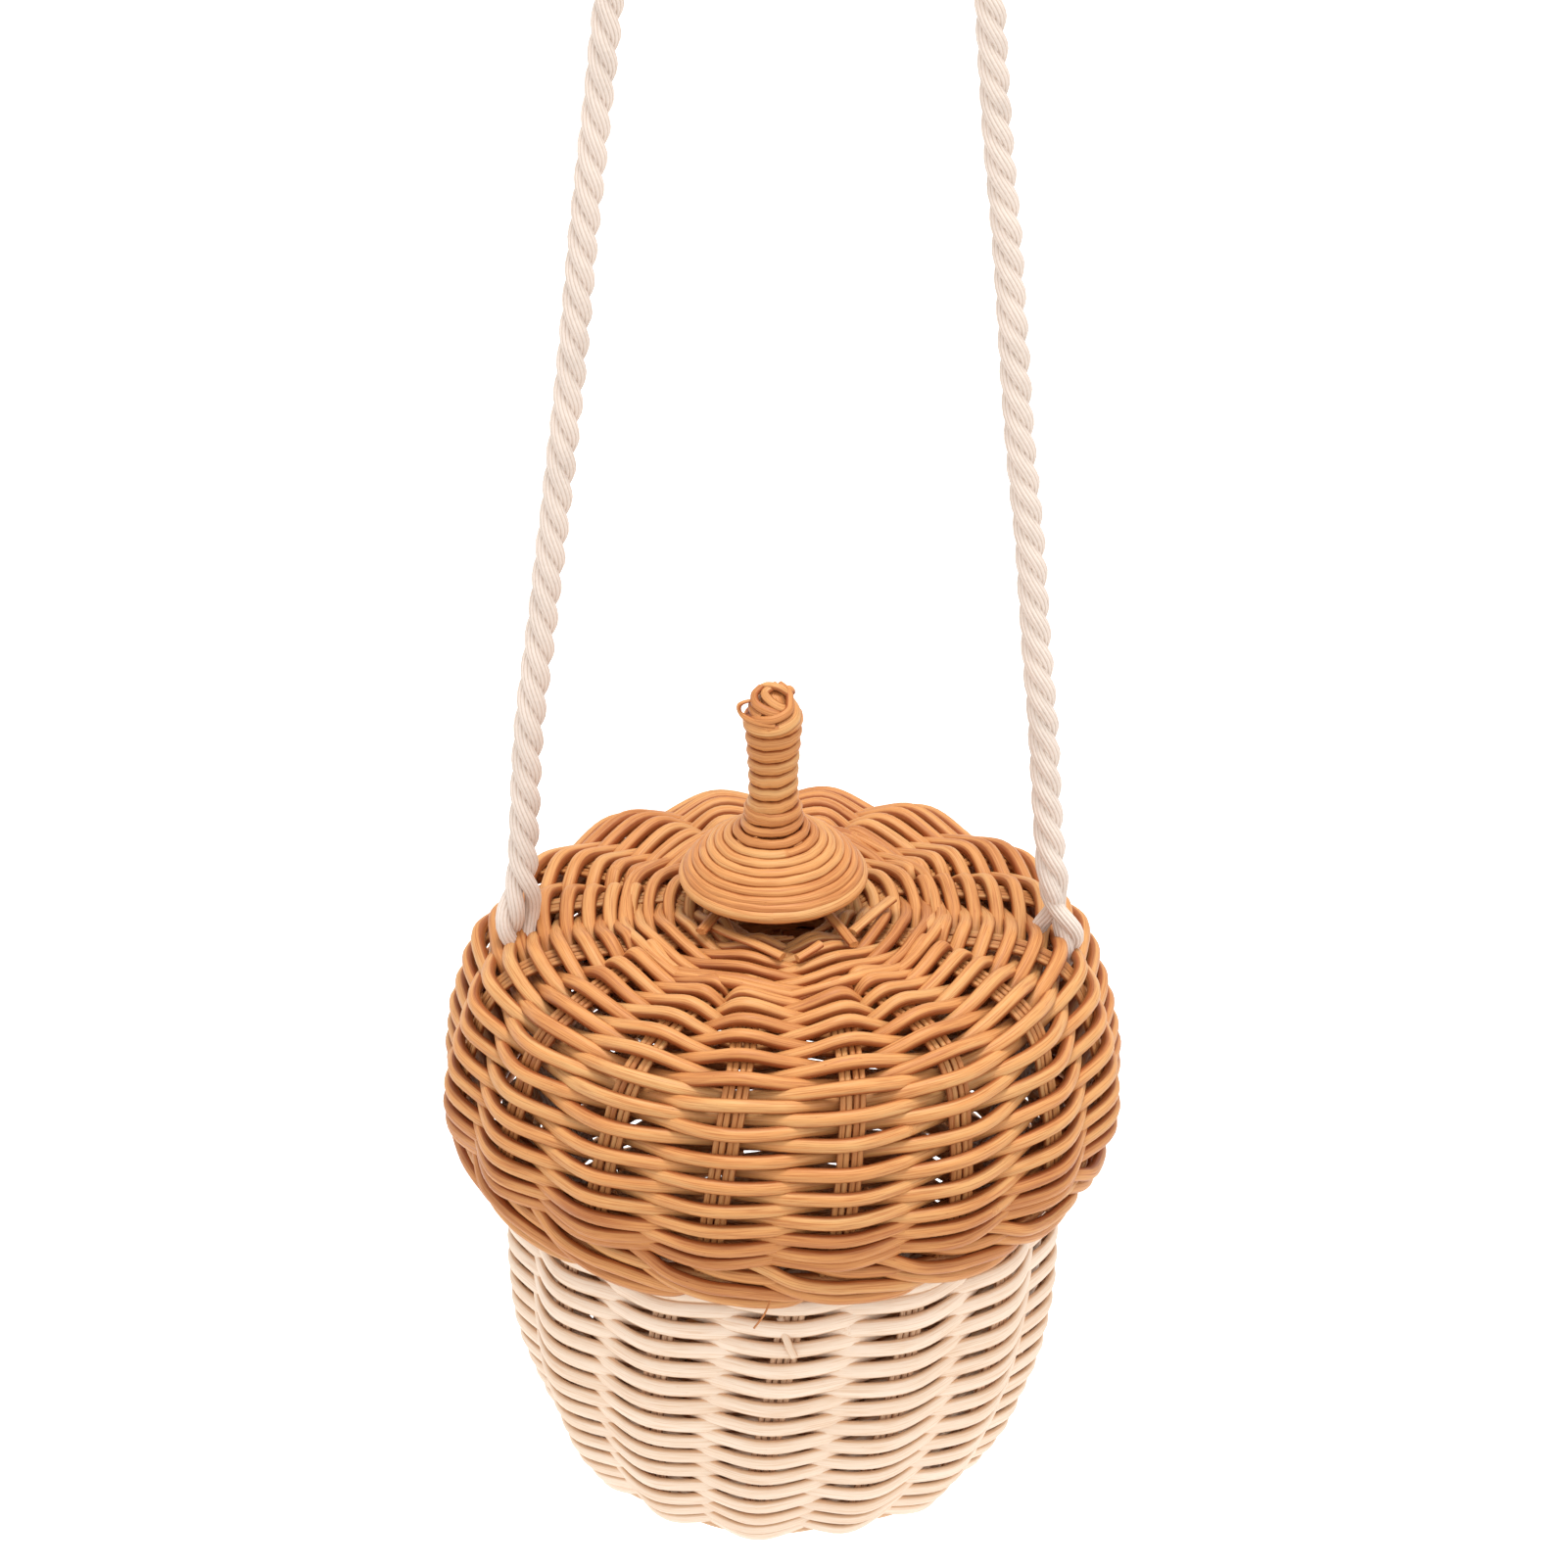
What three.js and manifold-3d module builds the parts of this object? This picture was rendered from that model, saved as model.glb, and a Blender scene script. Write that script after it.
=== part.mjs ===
// Acorn-shaped rattan bag: a woven base, a domed woven lid with a wound stem, and a twisted
// cotton strap that runs down through the lid to the base's rim. The lid slides up the strap.
// Units are millimetres and +Z is up. The origin is the top of the strap's loop, where the bag
// hangs. Heights below are measured from the base's underside, and the front faces -Y.

import * as THREE from 'three';
import { mergeVertices } from 'three/addons/utils/BufferGeometryUtils.js';
import Module from 'manifold-3d';

// Clearances
const gap = 0.3; // between pieces that touch
const lidFit = 0.5; // round the rim, inside the lid's border
const slotClearance = 0.7; // round the strap, in the lid
const lashingSlack = 0.4; // round a lashing, in the rim

// Base
const baseRadius = 66.3; // at the widest row
const footRadius = 44; // where the wall meets the ground
const wallTop = 78; // height of the base's wall
const baseWall = 3.9; // thickness of the woven wall
const baseBulge = 2.4; // how far a row stands out where it passes over a stake
const baseRelief = 2.6; // how deep a row lies where it passes behind a stake
const baseStakes = 13;
const baseRows = 28;
const baseWeavers = 1; // that wind up the wall side by side
const baseTurn = THREE.MathUtils.degToRad(11); // how far its stakes turn to the right, going up
const floorThickness = 4;

// Rim of the base
const rimHeight = 13.7;
const rimStandOut = 2.2; // how far the rolled edge stands out past the wall
const rimWidth = 8.5;

// Lid
const lidOverlap = 15; // how far the border hangs below the rim's top
const lidFlare = 13; // from the border's bore to the lid's widest row
const lidHeight = 73; // from the border's lower edge to the crown
const lidWall = 4.3;
const lidBulge = 2.9;
const lidRelief = 3.2;
const lidStakes = 16;
const lidRows = 27;
const lidWeavers = 2;
const lidTurn = THREE.MathUtils.degToRad(6.7); // how far its stakes turn to the right, going up
const crownRadius = 27; // the opening that the crown fills
const slotWidth = 9.2; // across the strap
const slotDrift = 10; // how far the strap leans in beneath a raised lid

// Stakes: flat clusters of thin reeds inside the walls
const stakeWidth = 7;
const stakeThickness = 1.5;

// Stem, which stands a little to the left of the lid's centre
const stemOffset = 2.2;
const stemRadius = 6.2;
const stemTop = 48; // height of the winding's top above the crown
const neckRadius = 9; // of the core between the crown and the disc
const discRadius = 22.7;
const discFoot = 6.5; // height of the disc's edge above the crown
const discTop = 21; // where the disc meets the stem
const discReed = 1.75;
const windingReed = 1.9;
const discLoops = 9;
const windingLoops = 10;
const knotRadius = 6.4;
const knotHeight = 12;
const knotReed = 2.2;
const endLoopRadius = 2.4;
const endLoopReed = 1.1;

// Strap and what ties it
const strapDiameter = 7.4;
const stopperRadius = 7.4;
const stopperHeight = 15;
const lashingReed = 2.2;
const lashingKnotRadius = 1.8;
const lashingRise = 4; // height of a lashing above the wall's top

// Strap centre line as [x, height], from the left knot over the top to the right knot
const strapRoute = [
  [-51.6, 76.3], [-51.6, 84], [-53.4, 94], [-57.2, 110], [-60.6, 126], [-62.2, 141],
  [-61.9, 156], [-61.2, 175], [-60.1, 198], [-57.4, 222], [-54.5, 249], [-51.7, 276],
  [-49.1, 303], [-46.9, 330], [-44.3, 357], [-40.5, 397], [-38.8, 425], [-37.4, 458],
  [-36.4, 491], [-36, 524], [-33.4, 537.5], [-26.3, 548.6], [-15.2, 556.6], [0, 560],
  [15.2, 556.6], [26.3, 548.6], [33.4, 537.5], [36, 524], [37.4, 505], [39.8, 484],
  [42.4, 462], [45, 440], [47, 418], [48.4, 397], [50.4, 360], [52.8, 330], [54.4, 303],
  [56, 276], [58.4, 249], [60, 222], [61.8, 198], [62.9, 175], [64.1, 156], [64.6, 141],
  [62.4, 126], [58.2, 110], [53.6, 94], [51.6, 84], [51.6, 76.3],
];

// Counts
const placesPerStake = 2; // of a wall's points: at each stake and half way to the next
const ringSides = 48;
const tubeSides = 6;
const strapSides = 8;
const strapSteps = 64;
const loopSteps = 24;
const knotSteps = 12;

// Outline of the base's wall as shares: from foot to widest radius, and of the wall's height
const baseOutlineShares = [
  [0, 0], [0.224, 0.05], [0.43, 0.128], [0.655, 0.256],
  [0.843, 0.41], [0.96, 0.59], [1, 0.795], [0.973, 1],
];

// Outline of the lid as shares: from crown to widest radius, and of the lid's height
const lidOutlineShares = [
  [0.946, 0.151], [0.975, 0.215], [1, 0.315], [0.998, 0.397], [0.972, 0.534], [0.935, 0.644],
  [0.897, 0.753], [0.819, 0.849], [0.71, 0.911], [0.542, 0.959], [0.3, 0.988], [0, 1],
];

// Where the weavers begin, as a share of a turn from the front, and the share of a wall's height
// at which its stakes are on their own places
const baseStartShare = 6 / baseStakes;
const lidStartShare = 7.5 / lidStakes;
const baseLevelShare = 0.75;
const lidLevelShare = 0.5;

// How much closer the lid's first rows lie than its last
const lidCrowdShare = 0.21;

// Closed outlines as shares of a width, outwards, and of a height, upwards
const rimOutlineShares = [
  [0.12, 0], [0.7, 0], [1, 0.42], [1, 0.78], [0.73, 1], [0.24, 1], [0, 0.78], [0, 0.2],
];
const borderOutlineShares = [[0.03, 0], [0.13, 0], [0.74, 0.52], [1, 1], [0.62, 1], [0, 0.68]];
const stopperOutlineShares = [
  [0, 0], [0.6, 0.06], [0.95, 0.32], [0.82, 0.52], [1, 0.74], [0.75, 1], [0, 1],
];

// Outline of the coiled disc as shares: from the stem to the disc's edge, and of its height
const discOutlineShares = [
  [1, 0], [0.87, 0.24], [0.66, 0.44], [0.36, 0.64], [0.14, 0.81], [0, 1],
];

// Derived sizes
const hangHeight = Math.max(...strapRoute.map(([, height]) => height));
const strapFoot = strapRoute[0];
const strapReach = Math.max(...strapRoute.map(([x]) => Math.abs(x)));
const rimFoot = wallTop + gap;
const rimTop = rimFoot + rimHeight;
const rimRadius = baseRadius + rimStandOut;
const rimBore = rimRadius - rimWidth;
const borderBore = rimRadius + lidFit;
const lidFoot = rimTop - lidOverlap;
const lidRadius = borderBore + lidFlare;
const crownTop = lidFoot + lidHeight;

const wasm = await Module();
wasm.setup();

// Materials
function rattan(color) {
  return new THREE.MeshStandardMaterial({ color, roughness: 0.55, metalness: 0 });
}

function cotton(color) {
  return new THREE.MeshStandardMaterial({ color, roughness: 0.95, metalness: 0 });
}

const caramel = 0xc98a4b;
const cream = 0xead6b8;
const offWhite = 0xe9dfcf;

function piece(name, geometry, material) {
  const mesh = new THREE.Mesh(geometry, material);
  mesh.name = name;
  return mesh;
}

// Joining and cutting

function toSolid(geometry) {
  const bare = geometry.clone();
  bare.deleteAttribute('normal');
  bare.deleteAttribute('uv');
  const merged = mergeVertices(bare);
  const corners = [];
  for (let i = 0; i < merged.index.count; i += 3) {
    const [a, b, c] = [0, 1, 2].map((k) => merged.index.getX(i + k));
    if (a !== b && b !== c && c !== a) corners.push(a, b, c);
  }
  return new wasm.Manifold(new wasm.Mesh({
    numProp: 3,
    vertProperties: Float32Array.from(merged.attributes.position.array),
    triVerts: Uint32Array.from(corners),
  }));
}

function toGeometry(solid) {
  const mesh = solid.getMesh();
  const geometry = new THREE.BufferGeometry();
  geometry.setAttribute('position', new THREE.BufferAttribute(mesh.vertProperties, 3));
  geometry.setIndex(new THREE.BufferAttribute(mesh.triVerts, 1));
  return geometry;
}

function cut(geometry, ...tools) {
  return toGeometry(tools.reduce((solid, tool) => solid.subtract(toSolid(tool)), toSolid(geometry)));
}

function join(...parts) {
  return toGeometry(parts.map(toSolid).reduce((solid, part) => solid.add(part)));
}

// Surfaces

// Turns an outline of [radius, height] pairs round the Z axis, starting at the front
function turned(outline, sides) {
  const points = outline.map(([radius, height]) => new THREE.Vector2(radius, height));
  return new THREE.LatheGeometry(points, sides).rotateX(Math.PI / 2);
}

// Moves each point of an upward outline towards the inside of the shape
function inset(outline, distance) {
  return outline.map(([radius, height], i) => {
    const [r0, h0] = outline[Math.max(i - 1, 0)];
    const [r1, h1] = outline[Math.min(i + 1, outline.length - 1)];
    const length = Math.hypot(r1 - r0, h1 - h0);
    return [radius - distance * (h1 - h0) / length, height + distance * (r1 - r0) / length];
  });
}

// Outline in real sizes from its shares, between two radii and two heights
function scaledOutline(shares, innerRadius, outerRadius, low, high) {
  return shares.map(([radiusShare, heightShare]) => [
    innerRadius + (outerRadius - innerRadius) * radiusShare,
    low + (high - low) * heightShare,
  ]);
}

function closedOutline(outline) {
  return [...outline, outline[0]];
}

function meshOf(points, corners) {
  const positions = points.flatMap((point) => point.toArray());
  const geometry = new THREE.BufferGeometry();
  geometry.setAttribute('position', new THREE.Float32BufferAttribute(positions, 3));
  geometry.setIndex(corners);
  return geometry;
}

// Joins a row of like rings of points into one closed skin
function skin(rings) {
  const count = rings[0].length;
  const corners = [];
  for (let i = 0; i + 1 < rings.length; i += 1) {
    for (let j = 0; j < count; j += 1) {
      const a = i * count + j;
      const b = i * count + (j + 1) % count;
      corners.push(a, b, a + count, b, b + count, a + count);
    }
  }
  const last = (rings.length - 1) * count;
  for (let j = 1; j + 1 < count; j += 1) {
    corners.push(0, j + 1, j, last, last + j, last + j + 1);
  }
  return meshOf(rings.flat(), corners);
}

// Skin over closed columns of points that stand round the Z axis, the last on top of the first
function shell(columns) {
  const size = columns[0].length;
  const corners = [];
  for (let i = 0; i + 1 < columns.length; i += 1) {
    for (let j = 0; j < size; j += 1) {
      const a = i * size + j;
      const b = i * size + (j + 1) % size;
      corners.push(a, a + size, b, b, a + size, b + size);
    }
  }
  return cut(meshOf(columns.flat(), corners));
}

// Round tube along a row of points
function tube(points, radius, sides) {
  let side = new THREE.Vector3(0, 0, 1);
  const rings = points.map((point, i) => {
    const before = points[Math.max(i - 1, 0)];
    const after = points[Math.min(i + 1, points.length - 1)];
    const along = after.clone().sub(before).normalize();
    if (Math.abs(side.dot(along)) > 0.9) side = new THREE.Vector3(along.y, along.z, along.x);
    side = side.clone().addScaledVector(along, -side.dot(along)).normalize();
    const up = along.clone().cross(side);
    return Array.from({ length: sides }, (_, j) => {
      const angle = 2 * Math.PI * j / sides;
      return point.clone()
        .addScaledVector(side, radius * Math.cos(angle))
        .addScaledVector(up, radius * Math.sin(angle));
    });
  });
  return skin(rings);
}

// Weave. A place round a wall is counted in stakes from where its weavers begin.

const baseOutline = scaledOutline(baseOutlineShares, footRadius, baseRadius, 0, wallTop);
const lidOutline = scaledOutline(lidOutlineShares, crownRadius, lidRadius, lidFoot, crownTop);

const baseWeave = {
  outline: baseOutline,
  hemPoints: 0,
  inside: inset(baseOutline, baseWall),
  stakes: baseStakes,
  rows: baseRows,
  weavers: baseWeavers,
  bulge: baseBulge,
  relief: baseRelief,
  crowdShare: 0,
  turnAt: (height) => 2 * Math.PI * baseStartShare + baseTurn * (height / wallTop - baseLevelShare),
};
const lidWeave = {
  outline: lidOutline,
  hemPoints: 1,
  inside: inset(lidOutline, lidWall),
  stakes: lidStakes,
  rows: lidRows,
  weavers: lidWeavers,
  bulge: lidBulge,
  relief: lidRelief,
  crowdShare: lidCrowdShare,
  turnAt: (height) => 2 * Math.PI * lidStartShare
    + lidTurn * ((height - lidFoot) / lidHeight - lidLevelShare),
};

function outlineCurve(outline) {
  return new THREE.SplineCurve(outline.map(([radius, height]) => new THREE.Vector2(radius, height)));
}

function placed([radius, height], stake, weave) {
  const azimuth = 2 * Math.PI * stake / weave.stakes + weave.turnAt(height);
  return new THREE.Vector3(radius * Math.sin(azimuth), -radius * Math.cos(azimuth), height);
}

// Outside of a woven wall at one place, from foot to top. The rows climb as they go round. At a
// stake they pass over and behind it by turns, and between two stakes they lie half way in.
function wovenSide(weave, stake) {
  const between = stake % 1 !== 0;
  const hem = inset(weave.outline, between ? weave.bulge : 0).slice(0, weave.hemPoints);
  const curve = outlineCurve(weave.outline.slice(weave.hemPoints));
  const rows = Array.from({ length: weave.rows + weave.weavers + 1 }, (_, i) => {
    const row = i + weave.weavers * (stake / weave.stakes - 1);
    const place = THREE.MathUtils.clamp(row / weave.rows, 0, 1);
    const share = place - weave.crowdShare * (place - place * place);
    const behind = place > 0 && place < 1 && (i - weave.weavers + stake) % 2 !== 0;
    const overOrBehind = behind ? weave.relief : 0;
    const depth = between ? weave.bulge : overOrBehind;
    const { x: radius, y: height } = curve.getPointAt(share);
    const { x: outwards, y: upwards } = curve.getTangentAt(share);
    return [radius - depth * upwards, height + depth * outwards];
  });
  return [...hem, ...rows];
}

function columns(weave, outlineAt) {
  return Array.from({ length: weave.stakes * placesPerStake + 1 }, (_, i) => {
    const stake = i / placesPerStake;
    return outlineAt(stake).map((point) => placed(point, stake, weave));
  });
}

function wallGeometry(weave) {
  return shell(columns(weave, (stake) => [...wovenSide(weave, stake), ...weave.inside.toReversed()]));
}

// One stake: a flat cluster that follows the inside of a wall
function stakeGeometry(weave, run, stake) {
  const deeper = inset(run, stakeThickness);
  const rings = run.map((point, i) => {
    const peak = placed(point, stake, weave);
    const inward = placed(deeper[i], stake, weave).sub(peak).normalize();
    const [left, right] = [-1, 1].map((turn) => {
      const side = placed(point, stake + turn / placesPerStake, weave);
      const share = stakeWidth / 2 / side.distanceTo(peak);
      return peak.clone().lerp(side, share);
    });
    const outer = [left, peak, right].map((p) => p.clone().addScaledVector(inward, gap));
    const inner = [right, left].map((p) => p.clone().addScaledVector(inward, gap + stakeThickness));
    return [...outer, ...inner];
  });
  return skin(rings);
}

// Base

function baseFloorGeometry() {
  const [[outerRadius], [innerRadius, innerHeight]] = [baseOutline[0], baseWeave.inside[0]];
  const slack = gap * Math.SQRT2;
  const outline = [
    [0, 0],
    [outerRadius - slack, 0],
    [innerRadius - slack, innerHeight],
    [innerRadius - slack, floorThickness],
    [0, floorThickness],
  ];
  return shell(columns(baseWeave, () => outline));
}

// The rim is cut by a through hole and a groove for each lashing
function rimGeometry() {
  const outline = scaledOutline(rimOutlineShares, rimBore, rimRadius, rimFoot, rimTop);
  const rim = turned(closedOutline(outline), ringSides);
  const tools = [-1, 1].map((side) => tube(lashingPath(side), lashingReed / 2 + lashingSlack, tubeSides));
  return cut(rim, ...tools);
}

// Strap, stopper knots and lashings

function strapGeometry() {
  const points = strapRoute.map(([x, height]) => new THREE.Vector3(x, 0, height));
  const path = new THREE.CatmullRomCurve3(points, false, 'centripetal');
  const section = new THREE.Shape(Array.from({ length: strapSides }, (_, i) => {
    const angle = 2 * Math.PI * i / strapSides;
    return new THREE.Vector2(Math.cos(angle), Math.sin(angle)).multiplyScalar(strapDiameter / 2);
  }));
  return new THREE.ExtrudeGeometry(section, {
    steps: strapSteps,
    extrudePath: path,
    bevelEnabled: false,
  });
}

// A lumpy knot with a flat top, where the strap comes out
function stopperGeometry() {
  const top = strapFoot[1] - gap;
  const outline = scaledOutline(stopperOutlineShares, 0, stopperRadius, top - stopperHeight, top);
  return turned(outline, knotSteps);
}

// Level loop round the strap, through the rim on both sides of it and along a groove outside
function lashingPath(side) {
  const reach = lashingReed / 2 + lashingSlack;
  const inner = Math.abs(strapFoot[0]) - strapDiameter / 2 - reach;
  const outer = rimRadius - reach;
  const halfWidth = strapDiameter / 2 + reach;
  const bend = lashingReed;
  const corners = [
    [inner, 0], [inner, halfWidth - bend], [inner + bend, halfWidth], [outer - bend, halfWidth],
    [outer, halfWidth - bend], [outer, bend - halfWidth], [outer - bend, -halfWidth],
    [inner + bend, -halfWidth], [inner, bend - halfWidth], [inner, -gap],
  ];
  const height = wallTop + lashingRise;
  return corners.map(([x, y]) => new THREE.Vector3(side * x, y, height));
}

// The loop's two ends meet in a small knot
function lashingGeometry(side) {
  const path = lashingPath(side);
  const knot = new THREE.SphereGeometry(lashingKnotRadius, knotSteps, tubeSides);
  knot.translate(path[0].x, path[0].y, path[0].z);
  return join(tube(path, lashingReed / 2, tubeSides), knot);
}

// Lid

// The wall has a slot on each side, along which the strap slides
function lidWallGeometry() {
  const outer = strapReach + strapDiameter / 2 + slotClearance;
  const inner = outer - strapDiameter - 2 * slotClearance - slotDrift;
  const slots = [-1, 1].map((side) => {
    const slot = new THREE.BoxGeometry(outer - inner, slotWidth, lidHeight);
    return slot.translate(side * (outer + inner) / 2, 0, crownTop);
  });
  return cut(wallGeometry(lidWeave), ...slots);
}

function borderGeometry() {
  const [wallRadius, wallFoot] = lidOutline[0];
  const outer = wallRadius - lidBulge;
  const outline = scaledOutline(borderOutlineShares, borderBore, outer, lidFoot, wallFoot - gap);
  return turned(closedOutline(outline), ringSides);
}

function crownGeometry() {
  const [boreRadius, underside] = lidWeave.inside.at(-1);
  const outline = [
    [0, underside],
    [boreRadius - gap, underside],
    [crownRadius - gap, crownTop],
    [0, crownTop],
  ];
  return shell(columns(lidWeave, () => outline));
}

// Stem, measured from the crown's top on the stem's own axis

const discOutline = scaledOutline(discOutlineShares, stemRadius, discRadius, discFoot, discTop);

function stemCoreGeometry() {
  const under = inset(discOutline.toReversed(), -discReed - gap).toReversed();
  const [edgeRadius, edgeHeight] = under[0];
  const rod = stemRadius - windingReed - gap;
  const outline = [
    [0, gap],
    [neckRadius, gap],
    [neckRadius, discFoot / 2],
    [edgeRadius, edgeHeight - discReed],
    ...under.slice(0, -1),
    [rod, discTop],
    [rod, stemTop - gap],
    [0, stemTop - gap],
  ];
  return turned(outline, loopSteps);
}

// Points of a spiral along an outline, with a straight end square to it at each end
function spiralPoints(outline, loops, reed) {
  const curve = outlineCurve(outline);
  const steps = loops * loopSteps;
  const points = Array.from({ length: steps + 1 }, (_, i) => {
    const { x: radius, y: height } = curve.getPointAt(i / steps);
    const angle = 2 * Math.PI * i / loopSteps;
    return new THREE.Vector3(radius * Math.sin(angle), -radius * Math.cos(angle), height);
  });
  const straight = (end, beside) => end.clone().sub(beside).setLength(reed).add(end);
  return [straight(points[0], points[1]), ...points, straight(points[steps], points[steps - 1])];
}

// Smallest gap between turns of one tube, taken between its centre line's points
function leastGap(points, diameter) {
  let least = Infinity;
  for (let i = 0; i < points.length; i += 1) {
    for (let j = i + loopSteps / 2; j < points.length; j += 1) {
      least = Math.min(least, points[i].distanceTo(points[j]));
    }
  }
  return least - diameter;
}

function wound(name, points, reed) {
  console.log(`${name}: least gap between turns ${leastGap(points, reed).toFixed(2)} mm`);
  return piece(name, tube(points, reed / 2, tubeSides), rattan(caramel));
}

function discPoints() {
  const centreLine = inset(discOutline.toReversed(), -discReed / 2).toReversed();
  return spiralPoints(centreLine, discLoops, discReed);
}

function windingPoints() {
  const radius = stemRadius - windingReed / 2;
  const foot = discTop + windingReed;
  const top = stemTop - windingReed;
  return spiralPoints([[radius, foot], [radius, top]], windingLoops, windingReed);
}

// Crossing reeds over the stem's top, and a thin end that stands out in a small loop
function stemKnotGeometry() {
  const reach = knotRadius - knotReed / 2;
  const rise = (knotHeight - knotReed) / 2;
  const middle = stemTop + rise;
  const lump = new THREE.SphereGeometry(1, knotSteps, tubeSides).rotateX(Math.PI / 2);
  lump.scale(reach, reach, rise).translate(0, 0, middle);
  const hoops = [-1, 1].map((side) => {
    const path = Array.from({ length: knotSteps + 1 }, (_, i) => {
      const angle = Math.PI * i / knotSteps;
      const lift = rise * Math.sin(angle);
      return new THREE.Vector3(reach * Math.cos(angle), side * knotReed / 2, middle + lift);
    });
    return tube(path, knotReed / 2, tubeSides).rotateZ(side * Math.PI / tubeSides);
  });
  const endLoop = new THREE.TorusGeometry(endLoopRadius, endLoopReed / 2, tubeSides, knotSteps);
  endLoop.rotateX(Math.PI / 2);
  endLoop.translate(-reach - endLoopRadius, 0, middle);
  return join(lump, ...hoops, endLoop);
}

function stem() {
  const group = new THREE.Group();
  group.position.set(-stemOffset, 0, crownTop);
  group.add(
    piece('stem_core', stemCoreGeometry(), rattan(caramel)),
    wound('stem_disc', discPoints(), discReed),
    wound('stem_winding', windingPoints(), windingReed),
    piece('stem_knot', stemKnotGeometry(), rattan(caramel)),
  );
  return group;
}

function stakes(prefix, weave, run, color) {
  return Array.from({ length: weave.stakes }, (_, i) => {
    const number = String(i + 1).padStart(2, '0');
    return piece(`${prefix}_${number}`, stakeGeometry(weave, run, i), rattan(color));
  });
}

function base() {
  const group = new THREE.Group();
  const stakeRun = baseWeave.inside.filter(([, height]) => height > floorThickness);
  group.add(
    piece('base_floor', baseFloorGeometry(), rattan(cream)),
    piece('base_wall', wallGeometry(baseWeave), rattan(cream)),
    piece('base_rim', rimGeometry(), rattan(cream)),
    ...stakes('base_stake', baseWeave, stakeRun, cream),
  );
  return group;
}

function lid() {
  const group = new THREE.Group();
  const stakeRun = lidWeave.inside.slice(0, -1);
  group.add(
    piece('lid_wall', lidWallGeometry(), rattan(caramel)),
    piece('lid_border', borderGeometry(), rattan(caramel)),
    piece('lid_crown', crownGeometry(), rattan(caramel)),
    ...stakes('lid_stake', lidWeave, stakeRun, caramel),
    stem(),
  );
  return group;
}

function strap() {
  const group = new THREE.Group();
  group.add(piece('strap', strapGeometry(), cotton(offWhite)));
  for (const [side, label] of [[-1, 'left'], [1, 'right']]) {
    const stopper = piece(`strap_knot_${label}`, stopperGeometry(), cotton(offWhite));
    stopper.position.x = side * Math.abs(strapFoot[0]);
    group.add(stopper, piece(`lashing_${label}`, lashingGeometry(side), cotton(offWhite)));
  }
  return group;
}

const bag = new THREE.Group();
bag.position.z = -hangHeight;
bag.add(base(), lid(), strap());

export default bag;
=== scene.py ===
"""Looks of an acorn-shaped rattan bag: woven base, domed lid with a wound stem, and rope strap."""

import math

import bmesh
import bpy
from bpy.props import FloatProperty, FloatVectorProperty, IntProperty, PointerProperty
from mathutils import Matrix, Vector


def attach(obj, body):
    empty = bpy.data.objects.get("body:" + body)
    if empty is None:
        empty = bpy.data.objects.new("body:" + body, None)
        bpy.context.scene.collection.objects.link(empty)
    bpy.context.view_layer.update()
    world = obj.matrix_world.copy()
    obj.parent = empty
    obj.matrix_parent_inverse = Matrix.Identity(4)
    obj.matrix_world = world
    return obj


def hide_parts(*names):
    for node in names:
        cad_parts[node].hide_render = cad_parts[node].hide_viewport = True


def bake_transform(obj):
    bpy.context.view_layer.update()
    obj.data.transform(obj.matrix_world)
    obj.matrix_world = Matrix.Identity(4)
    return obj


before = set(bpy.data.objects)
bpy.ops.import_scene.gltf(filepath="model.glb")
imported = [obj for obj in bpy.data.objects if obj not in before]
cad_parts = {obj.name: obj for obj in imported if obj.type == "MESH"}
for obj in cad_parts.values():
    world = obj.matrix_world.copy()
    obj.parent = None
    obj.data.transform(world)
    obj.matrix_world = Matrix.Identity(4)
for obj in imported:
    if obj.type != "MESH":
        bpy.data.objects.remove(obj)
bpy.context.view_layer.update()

bl_info = {
    "name": "Acorn-shaped rattan bag",
    "version": (1, 0, 0),
    "blender": (4, 5, 0),
    "location": "View3D > Sidebar > Rattan bag",
    "description": "Makes the bag's woven pieces, its rope strap and the stage",
    "category": "Object",
}

TAU = math.tau
MM = 0.001
WHITE = (1, 1, 1)

# The origin is the top of the strap's loop. Heights in the lists below are in millimetres
# above the base's underside, as in the part's source.
HANG_HEIGHT = 560


def up(height):
    """Height in metres in the object's frame, from millimetres above the base's underside"""
    return (height - HANG_HEIGHT) * MM


# Strap's centre line as [x, height], from the left knot over the top to the right knot
STRAP_ROUTE = [
    (-51.6, 76.3), (-51.6, 84), (-53.4, 94), (-57.2, 110), (-60.6, 126), (-62.2, 141),
    (-61.9, 156), (-61.2, 175), (-60.1, 198), (-57.4, 222), (-54.5, 249), (-51.7, 276),
    (-49.1, 303), (-46.9, 330), (-44.3, 357), (-40.5, 397), (-38.8, 425), (-37.4, 458),
    (-36.4, 491), (-36, 524), (-33.4, 537.5), (-26.3, 548.6), (-15.2, 556.6), (0, 560),
    (15.2, 556.6), (26.3, 548.6), (33.4, 537.5), (36, 524), (37.4, 505), (39.8, 484),
    (42.4, 462), (45, 440), (47, 418), (48.4, 397), (50.4, 360), (52.8, 330), (54.4, 303),
    (56, 276), (58.4, 249), (60, 222), (61.8, 198), (62.9, 175), (64.1, 156), (64.6, 141),
    (62.4, 126), (58.2, 110), (53.6, 94), (51.6, 84), (51.6, 76.3),
]
TAIL_POINTS = (6, -7)  # places in the route where the strap's tails begin, above the lid
HOLE_HEIGHT = 141  # where the strap goes through the lid

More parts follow.
